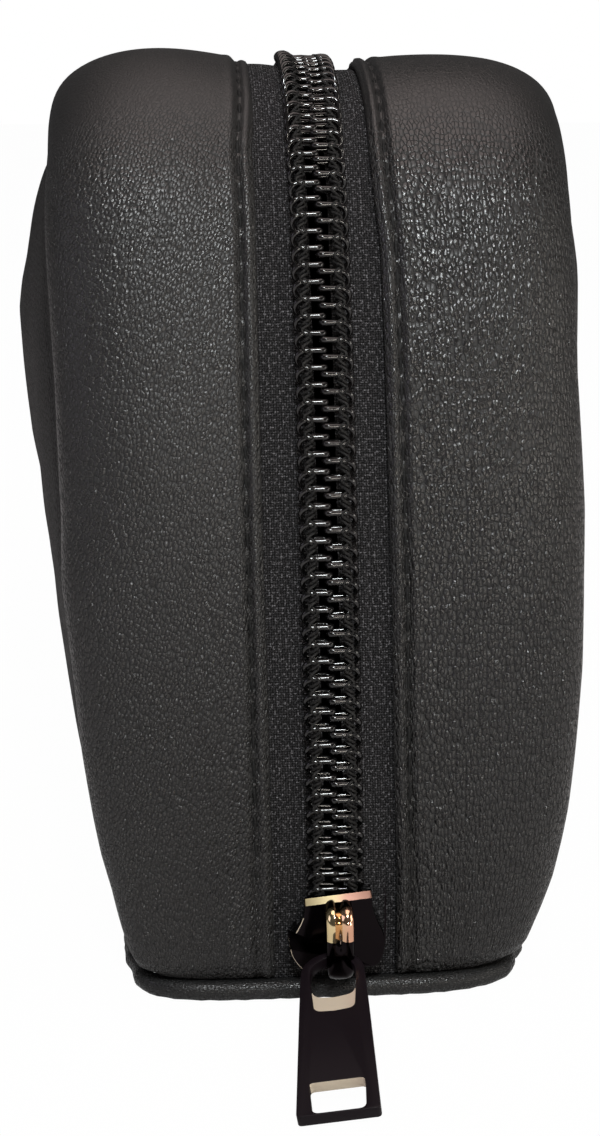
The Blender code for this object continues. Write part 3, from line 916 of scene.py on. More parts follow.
class MaterialGraph(Graph):
    """The node tree of a new material."""

    def __init__(self, name: str) -> None:
        """Start a material.

        Args:
            name: Its name.
        """
        self.material = bpy.data.materials.new(name)
        self.material.use_nodes = True
        super().__init__(self.material.node_tree)

    def coordinates(self, kind: str) -> bpy.types.NodeSocket:
        """The piece's own coordinates: UV for a sheet, Object for a solid."""
        return self.add("ShaderNodeTexCoord").outputs[kind]

    def bump(
        self, height: bpy.types.NodeSocket, distance: float, strength: float
    ) -> bpy.types.NodeSocket:
        """A normal from a height.

        Args:
            height: The height socket, from 0 to about 1.
            distance: The real height of 1, in metres.
            strength: How much of it is felt.

        Returns:
            The normal socket.
        """
        inputs = {"Height": height, "Distance": distance, "Strength": strength}
        return self.add("ShaderNodeBump", inputs).outputs[0]

    def close(self, **sockets: object) -> bpy.types.Material:
        """Add the Principled shader and the output.

        Args:
            sockets: Shader inputs by name, with underscores for spaces.

        Returns:
            The finished material.
        """
        inputs = {label.replace("_", " "): value for label, value in sockets.items()}
        self.end(self.add("ShaderNodeBsdfPrincipled", inputs), "Material")
        return self.material


@dataclass(frozen=True)
class LeatherFinish:
    """Black coated leather with a pebble grain, with painted shade in the creases and painted light
    on the pebble tops.
    """

    name: str
    grain: Grain
    shaded_valley_colour: tuple = (0.002, 0.002, 0.002, 1.0)
    lit_top_colour: tuple = (0.0105, 0.0098, 0.0096, 1.0)
    speckle: float = 1.3
    pebble_width: float = 0.50 * MM
    pebble_length: float = 0.76 * MM
    pebble_height: float = 0.19 * MM
    fine_share: float = 0.16
    valley_roughness: float = 0.70
    top_roughness: float = 0.25
    patch_roughness: float = 0.06
    specular: float = 0.5
    smooth_end: float = 4.9 * MM
    smooth_fade: float = 1.2 * MM
    smooth_grain: float = 0.85
    smooth_tops: float = 0.8
    foot_end: float = 30.0 * MM
    foot_fade: float = 78.0 * MM
    foot_grain: float = 2.8
    crest_run: float = 140.0 * MM
    crest_near: float = 17.0 * MM
    crest_far: float = 32.0 * MM
    crest_grain: float = 0.18
    fine_cell: float = 0.30 * MM
    fine_detail: float = 3.0
    fine_height: float = 0.065 * MM

    def material(self) -> bpy.types.Material:
        """Build the material on the piece's sheet coordinates.

        Returns:
            The material.
        """
        graph = MaterialGraph(self.name)
        flat = graph.coordinates("UV")
        scale = (1 / self.pebble_length, 1 / self.pebble_width, 1.0)
        vector = graph.mapped(flat, scale, self.grain.value)
        along, across = graph.add("ShaderNodeSeparateXYZ", {0: flat}).outputs[:2]
        open_skin = graph.remap(across, self.smooth_end, self.smooth_end + self.smooth_fade)
        away = graph.math("ABSOLUTE", graph.math("SUBTRACT", along, self.crest_run))
        calm = graph.remap(away, self.crest_near, self.crest_far, self.crest_grain, 1.0)
        risen = graph.remap(along, self.foot_end, self.foot_fade, self.foot_grain, 1.0)
        grain = Effects.use(graph, "pebble", Vector=vector, Roughening=self.fine_share)
        patches = Effects.use(graph, "mottle", Vector=flat).outputs["Patches"]
        fine = graph.noise(flat, 1 / self.fine_cell, self.fine_detail)

        # Painted shade and light: the creases take the dark valley colour and the pebble tops the
        # light top colour, less so beside the zip and near the crest; fine specks vary the tone at
        # random.
        even = graph.math("MULTIPLY", graph.remap(open_skin, 0.0, 1.0, self.smooth_tops, 1.0), calm)
        tops = graph.math("SUBTRACT", grain.outputs["Tops"], 0.5)
        tops = graph.math("ADD", graph.math("MULTIPLY", tops, even), 0.5)
        specks = graph.math("MULTIPLY", graph.math("SUBTRACT", fine, 0.5), self.speckle)
        colour = graph.blend(graph.math("ADD", tops, specks), self.shaded_valley_colour, self.lit_top_colour)
        rough = graph.remap(tops, 0.0, 1.0, self.valley_roughness, self.top_roughness)
        rough = graph.math("ADD", rough, graph.math("MULTIPLY", patches, self.patch_roughness))

        share = graph.remap(open_skin, 0.0, 1.0, self.smooth_grain, 1.0)
        share = graph.math("MULTIPLY", graph.math("MULTIPLY", share, risen), calm)
        height = graph.math("MULTIPLY", grain.outputs["Height"], share)
        fine = graph.math("MULTIPLY", fine, self.fine_height / self.pebble_height)
        normal = graph.bump(graph.math("ADD", height, fine), self.pebble_height, 1.0)
        return graph.close(
            Base_Color=colour, Roughness=rough, Normal=normal, Specular_IOR_Level=self.specular
        )


@dataclass(frozen=True)
class ClothFinish:
    """Woven cloth: the zip's tape, the lining and the bindings."""

    name: str
    coordinates: str
    colour: tuple
    lit_colour: tuple
    thread_pitch: float
    weave_height: float
    roughness: float = 0.75
    specular: float = 0.15
    even_share: float = 0.15
    speck_scale: float = 0.8
    speck_range: tuple = (0.50, 0.66)
    lit_range: tuple = (0.6, 1.3)

    def material(self) -> bpy.types.Material:
        """Build the material.

        Returns:
            The material.
        """
        graph = MaterialGraph(self.name)
        pitch = 1 / self.thread_pitch
        vector = graph.mapped(graph.coordinates(self.coordinates), (pitch, pitch, pitch), 0.0)
        height = Effects.use(graph, "weave", Vector=vector).outputs["Height"]
        specks = graph.noise(vector, self.speck_scale, 3.0)
        specks = graph.remap(specks, *self.speck_range, self.even_share, 1.0)
        lit = graph.math("MULTIPLY", graph.remap(height, *self.lit_range), specks)
        return graph.close(
            Base_Color=graph.blend(lit, self.colour, self.lit_colour),
            Roughness=self.roughness,
            Normal=graph.bump(height, self.weave_height, 1.0),
            Specular_IOR_Level=self.specular,
        )


@dataclass(frozen=True)
class NylonFinish:
    """Smooth black monofilament."""

    name: str = "nylon_monofilament"
    colour: tuple = (0.003, 0.003, 0.003, 1.0)
    smudged_colour: tuple = (0.007, 0.006, 0.006, 1.0)
    polish: float = 0.10
    smudge: float = 0.16
    speck_height: float = 0.01 * MM
    speck_share: float = 0.6

    def material(self) -> bpy.types.Material:
        """Build the material on Object coordinates.

        Returns:
            The material.
        """
        graph = MaterialGraph(self.name)
        marks = Effects.use(graph, "mottle", Vector=graph.coordinates("Object"))
        specks = marks.outputs["Specks"]
        return graph.close(
            Base_Color=graph.blend(marks.outputs["Patches"], self.colour, self.smudged_colour),
            Roughness=graph.remap(specks, 0.0, 1.0, self.polish, self.smudge),
            Normal=graph.bump(specks, self.speck_height, self.speck_share),
        )


@dataclass(frozen=True)
class ThreadFinish:
    """Matte sewing thread."""

    name: str
    colour: tuple
    lit_colour: tuple
    fibre_scale: float = 5200.0
    fibre_range: tuple = (0.4, 0.65)
    fibre_height: float = 0.05 * MM
    roughness: tuple = (0.7, 0.9)
    specular: float = 0.2

    def material(self) -> bpy.types.Material:
        """Build the material on Object coordinates.

        Returns:
            The material.
        """
        graph = MaterialGraph(self.name)
        place = graph.coordinates("Object")
        specks = Effects.use(graph, "mottle", Vector=place).outputs["Specks"]
        fibres = graph.noise(place, self.fibre_scale, 2.0)
        lit = graph.remap(fibres, *self.fibre_range)
        return graph.close(
            Base_Color=graph.blend(lit, self.colour, self.lit_colour),
            Roughness=graph.remap(specks, 0.0, 1.0, *self.roughness),
            Normal=graph.bump(fibres, self.fibre_height, 1.0),
            Specular_IOR_Level=self.specular,
        )


@dataclass(frozen=True)
class PlatingFinish:
    """Polished metal plate, tinted from one side to the other; where the two colours differ, the
    tint is a painted warm reflection.
    """

    name: str
    left_colour: tuple
    right_colour: tuple
    left_edge: float = -0.6 * MM
    right_edge: float = 2.0 * MM
    polish: float = 0.10
    smudge: float = 0.22
    metallic: float = 1.0
    specular: float = 0.5
    speck_height: float = 0.004 * MM
    speck_share: float = 0.5

    def material(self) -> bpy.types.Material:
        """Build the material on Object coordinates.

        Returns:
            The material.
        """
        graph = MaterialGraph(self.name)
        place = graph.coordinates("Object")
        right = graph.add("ShaderNodeSeparateXYZ", {0: place}).outputs[0]
        # Painted reflection: the colour runs along X from the left colour to the right one,
        # standing in for warm surroundings mirrored in the plate.
        tint = graph.remap(right, self.left_edge, self.right_edge)
        marks = Effects.use(graph, "mottle", Vector=place)
        return graph.close(
            Base_Color=graph.blend(tint, self.left_colour, self.right_colour),
            Roughness=graph.remap(marks.outputs["Patches"], 0.0, 1.0, self.polish, self.smudge),
            Normal=graph.bump(marks.outputs["Specks"], self.speck_height, self.speck_share),
            Metallic=self.metallic,
            Specular_IOR_Level=self.specular,
        )


@dataclass(frozen=True)
class Platings:
    """The slider's materials; three of them paint warm reflections and highlights onto chosen faces
    of the black plating.
    """

    dark: bpy.types.Material
    flat: bpy.types.Material
    bail_glint: bpy.types.Material
    bar: bpy.types.Material
    rim: bpy.types.Material
    steel: bpy.types.Material


@dataclass(frozen=True)
class PlainFinish:
    """Foam or board inside the bag, with an even fine texture."""

    name: str
    dark_colour: tuple
    light_colour: tuple
    cell: float
    cell_range: tuple = (0.35, 0.65)
    cell_height: float = 0.1 * MM
    cell_share: float = 0.8
    roughness: float = 0.9

    def material(self) -> bpy.types.Material:
        """Build the material on Object coordinates.

        Returns:
            The material.
        """
        graph = MaterialGraph(self.name)
        cells = graph.noise(graph.coordinates("Object"), 1 / self.cell, 3.0)
        light = graph.remap(cells, *self.cell_range)
        return graph.close(
            Base_Color=graph.blend(light, self.dark_colour, self.light_colour),
            Roughness=self.roughness,
            Normal=graph.bump(cells, self.cell_height, self.cell_share),
        )


# The leather


@dataclass
class EndLeather:
    """A strip of leather beside the zip, with its turned and topstitched edge."""

    shape: BagShape
    side: Side
    stitch_inset: float
    crest_sink: float
    row_count: int = 330
    nose_radius: float = 0.7 * MM
    nose_degrees: tuple = (-90, -120, -150, 180, 150, 125, 105)
    lip_length: float = 1.4 * MM
    ridge_height: float = 0.30 * MM
    ridge_place: float = 0.5
    ridge_width: float = 0.45
    channel_depth: float = 0.62 * MM
    channel_width: float = 0.50 * MM
    channel_beat: float = 0.5
    shoulder_height: float = 0.16 * MM
    shoulder_place: float = 1.1 * MM
    shoulder_width: float = 0.6 * MM
    foot_start: float = 6.0 * MM
    foot_run: float = 24.0 * MM
    foot_depth: float = 0.45
    foot_width: float = 1.9
    stitch_pitch: float = 3.8 * MM
    stitch_length: float = 2.9 * MM
    stitch_arch: float = 0.30 * MM
    stitch_sink: float = 0.62 * MM
    stitch_lean: float = 0.10 * MM
    thread_radius: float = 0.22 * MM
    wander_height: float = 0.12 * MM
    wander_waves: tuple = (61.0 * MM, 143.0 * MM)
    tuck_run: float = 2.6 * MM
    tuck_depth: float = 1.1 * MM
    fold_height: float = 0.16 * MM
    fold_wave: float = 34.0 * MM
    fold_rise: float = 1.4
    pleat_height: float = 0.11 * MM
    pleat_waves: tuple = (2.6 * MM, 46.0 * MM)
    pleat_top: float = 45.0 * MM
    pleat_shares: tuple = (0.1, 0.6)
    trim_fade: float = 20.0 * MM
    sink_fade: float = 4.0 * MM
    sink_from: float = 96.0 * MM
    sink_rise: float = 26.0 * MM
    foot_flare: float = 0.9 * MM
    flare_run: float = 16.0 * MM
    foot_overhang: float = 0.9 * MM
    edge_reach: float = 6.0 * MM
    edge_columns: int = 22
    flat_columns: int = 22
    corner_columns: int = 20
    switch_share: float = 0.8

    def edge_profile(self, inset: float, distance: np.ndarray) -> np.ndarray:
        """How far the leather near the zip stands out.

        Args:
            inset: The distance from the edge by the zip.
            distance: Distances along the path.

        Returns:
            Heights above the plain skin.
        """
        from_stitch = np.full_like(distance, inset) - self.stitch_inset
        place = self.ridge_place * self.stitch_inset
        ridge = self.ridge_height * bell(inset - place, self.ridge_width * self.stitch_inset)
        beat = np.cos(2 * math.pi * distance / self.stitch_pitch)
        foot = smooth_step((distance - self.foot_start) / self.foot_run)
        depth = self.channel_depth * (1 + self.channel_beat * beat)
        depth = depth * (self.foot_depth + (1 - self.foot_depth) * foot)
        width = self.channel_width * (self.foot_width - (self.foot_width - 1) * foot)
        shoulder = bell(from_stitch - self.shoulder_place, self.shoulder_width)
        return ridge - depth * bell(from_stitch, width) + self.shoulder_height * shoulder

    def stray(self, distance: np.ndarray) -> np.ndarray:
        """How far the sewn edge strays from its even distance to the zip.

        Args:
            distance: Distances along the path.

        Returns:
            Shifts away from the zip.
        """
        first, second = (distance / wave for wave in self.wander_waves)
        wander = self.wander_height * ripple(first, second, self.side.value)
        return wander + self.side.read(self.shape.edge_trims, self.shape.path.at(distance)[1])

    def tuck(self, distance: np.ndarray) -> np.ndarray:
        """How far the leather turns in towards the piping at its two feet.

        Args:
            distance: Distances along the path.

        Returns:
            Depths below the plain skin.
        """
        near = np.clip(1 - distance / self.tuck_run, 0.0, 1.0)
        far = np.clip(1 - (self.shape.path.length - distance) / self.tuck_run, 0.0, 1.0)
        return self.tuck_depth * (near**2 + far**2)

    def width(self, distance: np.ndarray) -> np.ndarray:
        """The strip's width from the zip's gap to the corner seam."""
        return self.shape.half_width(self.side, distance) - self.shape.zip_gap_half

    def folds(self, distance: np.ndarray) -> np.ndarray:
        """Slow waves across the strip."""
        waves = ripple(distance / self.fold_wave, distance * 0.0, 2.0 + self.side.value)
        return self.fold_height * waves

    def skin(self, share: np.ndarray, distance: np.ndarray) -> tuple:
        """The plain skin at a share of the way from the zip to the corner seam.

        Args:
            share: Shares of the width, below 1.
            distance: Distances along the path.

        Returns:
            Arrays of x, counted from the middle, and of the depth below the coil's top.
        """
        shape = self.shape
        power = shape.corner_power(self.side, distance)
        x = shape.zip_gap_half + self.width(distance) * share
        down = 1 - (1 - share**power) ** (1 / power)
        depth = shape.leather_sink + shape.corner_depth(distance) * down
        return x, depth - shape.puff(self.side, share, distance)

    def nose(self, distance: np.ndarray) -> list:
        """Columns from the lip under the turned edge, round to its top.

        Args:
            distance: A column of distances along the path.

        Returns:
            Pairs of x and depth, one for each column.
        """
        radius, sink = self.nose_radius, self.shape.leather_sink
        under = self.shape.zip_gap_half + radius
        places = [(under + self.lip_length, sink + 2 * radius)]
        for degrees in self.nose_degrees:
            turn = math.radians(degrees)
            level = sink + radius - radius * math.sin(turn)
            places.append((under + radius * math.cos(turn), level))
        return [(np.full_like(distance, x), np.full_like(distance, level)) for x, level in places]

    def edge(self, distance: np.ndarray) -> list:
        """Columns across the stitched edge.

        Args:
            distance: A column of distances along the path.

        Returns:
            Pairs of x and depth, one for each column.
        """
        columns = []
        for step in range(self.edge_columns):
            part = step / self.edge_columns
            inset = self.nose_radius + (self.edge_reach - self.nose_radius) * part
            x, depth = self.skin(inset / self.width(distance), distance)
            columns.append((x, depth - self.edge_profile(inset, distance)))
        return columns

    def flat(self, distance: np.ndarray) -> list:
        """Columns from the stitched edge to where the corner begins.

        Args:
            distance: A column of distances along the path.

        Returns:
            Pairs of x and depth, one for each column.
        """
        folds = self.folds(distance)
        start = self.edge_reach / self.width(distance)
        low = 1 - smooth_step(self.shape.path.at(distance)[1] / self.pleat_top)
        pleat_start, pleat_run = self.pleat_shares
        across, along = self.pleat_waves
        columns = []
        for step in range(self.flat_columns):
            part = step / self.flat_columns
            x, depth = self.skin(start + (self.switch_share - start) * part, distance)
            depth = depth - folds * math.sin(math.pi * min(part * self.fold_rise, 1.0) / 2)
            if self.side is Side.RIGHT:
                near_zip = 1 - smooth_step((part - pleat_start) / pleat_run)
                pleats = self.pleat_height * ripple(x / across, distance / along, 5.0)
                depth = depth - pleats * low * near_zip
            columns.append((x, depth))
        return columns

    def corner(self, distance: np.ndarray) -> list:
        """Columns round the corner and over into the seam.

        Args:
            distance: A column of distances along the path.

        Returns:
            Pairs of x and depth, one for each column.
        """
        shape = self.shape
        folds, width = self.folds(distance), self.width(distance)
        power = shape.corner_power(self.side, distance)
        start = np.arctan2(self.switch_share, (1 - self.switch_share**power) ** (1 / power))
        columns = []
        for step in range(self.corner_columns + 1):
            turn = start + (math.pi / 2 - start) * step / self.corner_columns
            rise = np.maximum(np.cos(turn), 0.0)
            reach = (np.sin(turn) ** power + rise**power) ** (-1 / power)
            share = reach * np.sin(turn)
            down = shape.corner_depth(distance) * (1 - reach * rise)
            depth = shape.leather_sink + down - shape.puff(self.side, share, distance)
            fade = math.cos(math.pi / 2 * step / self.corner_columns)
            columns.append((shape.zip_gap_half + width * share, depth - folds * fade))
        x, depth = columns[-1]
        bend = shape.seam_radius
        for degrees in (30, 60, 90):
            turn = math.radians(degrees)
            columns.append((x - bend * (1 - math.cos(turn)), depth + bend * math.sin(turn)))
        return columns + [(x - shape.seam_tuck * bend, depth + bend)]

    def section(self, distance: np.ndarray) -> tuple:
        """The strip's cross-sections.

        Args:
            distance: A column of distances along the path.

        Returns:
            Arrays of x and depth, one row for each station.
        """
        parts = (self.nose, self.edge, self.flat, self.corner)
        columns = [column for part in parts for column in part(distance)]
        x, depth = (np.concatenate(arrays, axis=1) for arrays in zip(*columns))
        from_zip = x - self.shape.zip_gap_half
        crest = smooth_step((self.shape.path.at(distance)[1] - self.sink_from) / self.sink_rise)
        sink = self.crest_sink * crest * (1 - smooth_step(from_zip / self.sink_fade))
        flare = self.foot_flare * (1 - smooth_step(distance / self.flare_run))
        x = x + self.stray(distance) * (1 - smooth_step(from_zip / self.trim_fade))
        return x, depth + self.tuck(distance) + sink - flare

    def make_leather(self) -> bpy.types.Object:
        """Build the strip.

        Returns:
            The strip.
        """
        path = self.shape.path
        distance = np.linspace(0.0, path.length, self.row_count + 1)[:, None]
        x, depth = self.section(distance)
        rows = path.point(self.side.value * x, distance, depth)
        rows[..., 2] = np.maximum(rows[..., 2], path.foot_height - self.foot_overhang)
        lengths = np.linalg.norm(np.diff(rows[self.row_count // 2], axis=0), axis=1)
        across = np.concatenate([[0.0], np.cumsum(lengths)])
        spread = np.stack(np.broadcast_arrays(distance, across[None, :]), axis=-1)
        name = f"end_leather_{self.side.word}"
        piece = Bench.sheet(name, rows, spread, (self.side.value, 0.0, 1.0))
        Bench.thicken(piece, self.shape.wall)
        return piece

    def make_stitches(self) -> bpy.types.Object:
        """Build the row of thread that holds the turned edge down.

        Returns:
            The threads.
        """
        path = self.shape.path
        strands = []
        shares = np.linspace(-0.5, 0.5, 7)
        arch = self.stitch_arch * np.cos(math.pi * shares) ** 0.6 - self.stitch_sink
        for index in range(1, int(path.length / self.stitch_pitch)):
            distance = index * self.stitch_pitch + shares * self.stitch_length
            x = self.shape.zip_gap_half + self.stitch_inset + self.stray(distance)
            x = self.side.value * (x + self.stitch_lean * shares)
            strands.append(path.point(x, distance, self.shape.leather_sink - arch))
        return Bench.cords(f"topstitch_{self.side.word}", strands, self.thread_radius, 1, [])

    def build(self, leather: bpy.types.Material, thread: bpy.types.Material) -> None:
        """Make and issue the strip and its stitches.

        Args:
            leather: The leather's material.
            thread: The thread's material.
        """
        strip = self.make_leather()
        Bench.issue(strip, "bag", "leather", leather, f"gusset_leather_{self.side.word}")
        Bench.issue(self.make_stitches(), "bag", "leather", thread)


@dataclass
class SidePanel:
    """A domed side of padded leather, turned in along its seam."""

    shape: BagShape
    side: Side
    bulges: tuple = (
        (0.0, 26.5, 28.0), (5.0, 30.0, 30.0), (8.0, 33.6, 32.4), (14.0, 36.4, 35.0),
        (21.0, 38.3, 37.4), (33.0, 40.1, 40.9), (44.0, 40.7, 42.4), (50.0, 40.8, 42.9),
        (56.0, 41.4, 43.4), (61.0, 42.3, 43.9), (67.0, 43.6, 44.4), (78.0, 45.1, 45.4),
        (84.0, 45.7, 45.8), (89.0, 45.3, 46.2), (95.0, 44.3, 46.8), (105.0, 43.2, 46.0),
        (124.0, 42.0, 44.0),
    )
    bulge_power: float = 0.75
    centre_height_share: float = 0.6
    seam_steps: int = 260
    flank_steps: int = 120
    seam_gap: float = 0.35 * MM
    ring_count: int = 36
    ring_power: float = 1.35
    rim_power: int = 6
    soft_height: float = 0.40 * MM
    soft_waves: tuple = (44 * MM, 34 * MM)
    groove_depth: float = 0.22 * MM
    groove_place: float = 3.4 * MM
    groove_width: float = 0.5 * MM
    foot_overhang: float = 0.5 * MM

    def seam_rings(self, x_edge: np.ndarray, edge: np.ndarray, toward: np.ndarray) -> list:
        """Rings from inside the seam out to the panel's face.

        Args:
            x_edge: The seam's distance from the bag's middle.
            edge: The seam's places, as (y, z).
            toward: The direction from each one to the panel's centre.

        Returns:
            Pairs of x and place.
        """
        bend = self.shape.seam_radius
        rings = []
        for degrees in (0, 30, 60, 90):
            turn = math.radians(degrees)
            inset = self.seam_gap + bend * (1 - math.cos(turn))
            rings.append((x_edge - bend + bend * math.sin(turn), edge + toward * inset))
        return [(x_edge - self.shape.seam_tuck * bend, rings[0][1])] + rings

    def dome_rings(self, x_edge: np.ndarray, centre: np.ndarray, spokes: np.ndarray) -> list:
        """Rings from the seam in to the panel's centre.

        Args:
            x_edge: The seam's distance from the bag's middle.
            centre: The panel's centre, as (y, z).
            spokes: The way from it to each place of the seam.

        Returns:
            Pairs of x and place.
        """
        reach = np.linalg.norm(spokes, axis=1)
        start = (self.seam_gap + self.shape.seam_radius) / reach
        edge_fullness = np.maximum(1 - (1 - start) ** 2, 0.0) ** self.bulge_power
        rings = []
        for ring in range(1, self.ring_count + 1):
            share = (1 - start) * (1 - (ring / self.ring_count) ** self.ring_power)
            place = centre + spokes * share[:, None]
            full = np.maximum(1 - share**2, 0.0) ** self.bulge_power
            full = full - edge_fullness * (share / (1 - start)) ** self.rim_power
            bulge = self.side.read(self.bulges, place[:, 1])
            x = x_edge + np.maximum(bulge - x_edge, 0.0) * full
            soft = ripple(*(place / self.soft_waves).T, 1.7 * self.side.value)
            x = x + self.soft_height * soft * (share * (1 - share) * 4)
            groove = bell((1 - share) * reach - self.groove_place, self.groove_width)
            rings.append((x - self.groove_depth * groove, place))
        return rings

    def build(self, leather: bpy.types.Material) -> None:
        """Make and issue the panel.

        Args:
            leather: The leather's material.
        """
        shape = self.shape
        distance = np.linspace(0.0, shape.path.length, self.seam_steps + 1)
        flank = shape.flank(self.side, self.flank_steps)
        edge = np.concatenate([shape.seam(self.side, distance), flank])
        centre = np.array([0.0, shape.path.crest * self.centre_height_share])
        spokes = edge[:, 1:] - centre
        toward = -spokes / np.linalg.norm(spokes, axis=1, keepdims=True)
        x_edge = np.abs(edge[:, 0])
        rings = self.seam_rings(x_edge, edge[:, 1:], toward)
        rings += self.dome_rings(x_edge, centre, spokes)
        places = [np.concatenate([self.side.value * x[:, None], place], 1) for x, place in rings]
        rows = np.stack(places, axis=1)
        rows = np.concatenate([rows, rows[:1]], axis=0)
        rows[..., 2] = np.maximum(rows[..., 2], shape.path.foot_height - self.foot_overhang)
        name = f"domed_side_{self.side.word}"
        piece = Bench.sheet(name, rows, rows[..., 1:], (self.side.value, 0.0, 0.0))
        Bench.merge(piece, False)
        Bench.thicken(piece, shape.wall)
        Bench.issue(piece, "bag", "leather", leather, f"side_panel_{self.side.word}")


@dataclass
class BasePiping:
    """The covered cord that is sewn round the base."""

    shape: BagShape
    setback: float = 0.15 * MM
    half_widths: tuple = (25.9 * MM, 25.2 * MM)
    corner_powers: tuple = (3.2, 2.5)
    radius: float = 1.42 * MM
    floor_gap: float = 0.08 * MM
    corner_steps: int = 26
    flank_steps: int = 90
    line_points: int = 480
    ring_points: int = 20
    pucker: float = 0.05 * MM
    pucker_pitch: float = 3.1 * MM

    def half_line(self, half_width: float, power: float) -> np.ndarray:
        """One half of the cord's line in plan, as if on the right.

        Args:
            half_width: The distance from the middle to the corner.
            power: How square the corner is.

        Returns:
            Points from the near end's middle to the far end's.
        """
        shape = self.shape
        quarter = [(0.0, -shape.path.half_length + shape.leather_sink)]
        for step in range(self.corner_steps + 1):
            turn = math.pi / 2 * step / self.corner_steps
            reach = (math.sin(turn) ** power + abs(math.cos(turn)) ** power) ** (-1 / power)
            x = shape.zip_gap_half + (half_width - shape.zip_gap_half) * reach * math.sin(turn)
            depth = shape.leather_sink + shape.foot_corner_depth * (1 - reach * math.cos(turn))
            quarter.append((x, -shape.path.half_length + depth))
        near = np.array(quarter)
        flank = shape.flank(Side.RIGHT, self.flank_steps)[::-1, :2]
        return np.concatenate([near, flank, near[::-1] * [1, -1]])

    def outline(self) -> np.ndarray:
        """The cord's centre line, drawn in from the leather's foot.

        Returns:
            Rows of place in plan, direction outwards and distance along the line.
        """
        sizes = zip(self.half_widths, self.corner_powers)
        left, right = (self.half_line(width, power) for width, power in sizes)
        loop = np.concatenate([right, left[-2:0:-1] * [-1, 1]])
        steps = np.linalg.norm(np.diff(loop, axis=0, append=loop[:1]), axis=1)
        run = np.concatenate([[0.0], np.cumsum(steps)])
        even = np.linspace(0.0, run[-1], self.line_points, endpoint=False)
        ring = np.concatenate([loop, loop[:1]])
        line = np.stack([np.interp(even, run, ring[:, axis]) for axis in (0, 1)], axis=1)
        tangent = np.roll(line, -1, axis=0) - np.roll(line, 1, axis=0)
        tangent /= np.linalg.norm(tangent, axis=1, keepdims=True)
        inward = np.stack([-tangent[:, 1], tangent[:, 0]], axis=1)
        return np.concatenate([line + inward * self.setback, -inward, even[:, None]], axis=1)

    def build(self, leather: bpy.types.Material) -> None:
        """Make and issue the piping.

        Args:
            leather: The leather's material.
        """
        line = self.outline()
        turns = np.linspace(0.0, 2 * math.pi, self.ring_points + 1)
        swell = self.radius + self.pucker * np.cos(2 * math.pi * line[:, 4:5] / self.pucker_pitch)
        outward = np.cos(turns)[None, :] * swell
        upward = np.sin(turns)[None, :] * swell
        x = line[:, 0:1] + line[:, 2:3] * outward
        y = line[:, 1:2] + line[:, 3:4] * outward
        z = self.floor_gap + self.radius + self.pucker + upward
        rows = np.stack([x, y, z], axis=-1)
        rows = np.concatenate([rows, rows[:1]])
        length = np.concatenate([line[:, 4], [line[-1, 4] + line[1, 4]]])
        girth = (turns * self.radius)[None, :]
        spread = np.stack(np.broadcast_arrays(length[:, None], girth), axis=-1)
        piece = Bench.sheet("piping", rows, spread, (0.0, 0.0, 1.0))
        Bench.merge(piece, True)
        Bench.issue(piece, "bag", "piping_leather", leather, "base_piping")


# The zip


@dataclass
class ZipTape:
    """A woven tape, seen between the coil and the leather."""

    shape: BagShape
    side: Side
    crest_billow: float
    foot_reach: float = 2.4 * MM
    centre_half: float = 1.3 * MM
    foot_step: float = 0.3 * MM
    underlap: float = 4.5 * MM
    level: float = 2.3 * MM
    slack_height: float = 0.12 * MM
    slack_waves: tuple = (23.0 * MM, 9.0 * MM)
    billow_from: float = 104.0 * MM
    billow_rise: float = 18.0 * MM
    billow_power: float = 0.7
    thickness: float = 0.5 * MM
    row_count: int = 300
    column_count: int = 16

    def build(self, cloth: bpy.types.Material) -> None:
        """Make and issue the tape.

        Args:
            cloth: The woven material.
        """
        path = self.shape.path
        distance = np.linspace(0.0, path.length, self.row_count + 1)[:, None]
        outer = self.shape.zip_gap_half + self.underlap
        x = np.linspace(self.centre_half, outer, self.column_count + 1)[None, :]
        along, across = self.slack_waves
        slack = self.slack_height * ripple(distance / along, x / across, 3.0 * self.side.value)
        share = np.clip((x - self.centre_half) / (outer - self.centre_half), 0.0, 1.0)
        billow = np.sin(math.pi * share) ** self.billow_power
        crest = smooth_step((path.at(distance)[1] - self.billow_from) / self.billow_rise)
        level = self.level + slack * (x < self.shape.zip_gap_half)
        rows = path.point(self.side.value * x, distance, level - self.crest_billow * crest * billow)
        spread = np.stack(np.broadcast_arrays(distance, x), axis=-1)
        foot = rows[:1] - np.array([0.0, self.foot_step, self.foot_reach])
        rows = np.concatenate([foot, rows])
        spread = np.concatenate([spread[:1] - np.array([self.foot_reach, 0.0]), spread])
        piece = Bench.sheet(f"woven_tape_{self.side.word}", rows, spread, (0.0, 0.0, 1.0))
        Bench.thicken(piece, self.thickness)
        Bench.issue(piece, "bag", "tape", cloth, f"zip_tape_{self.side.word}")


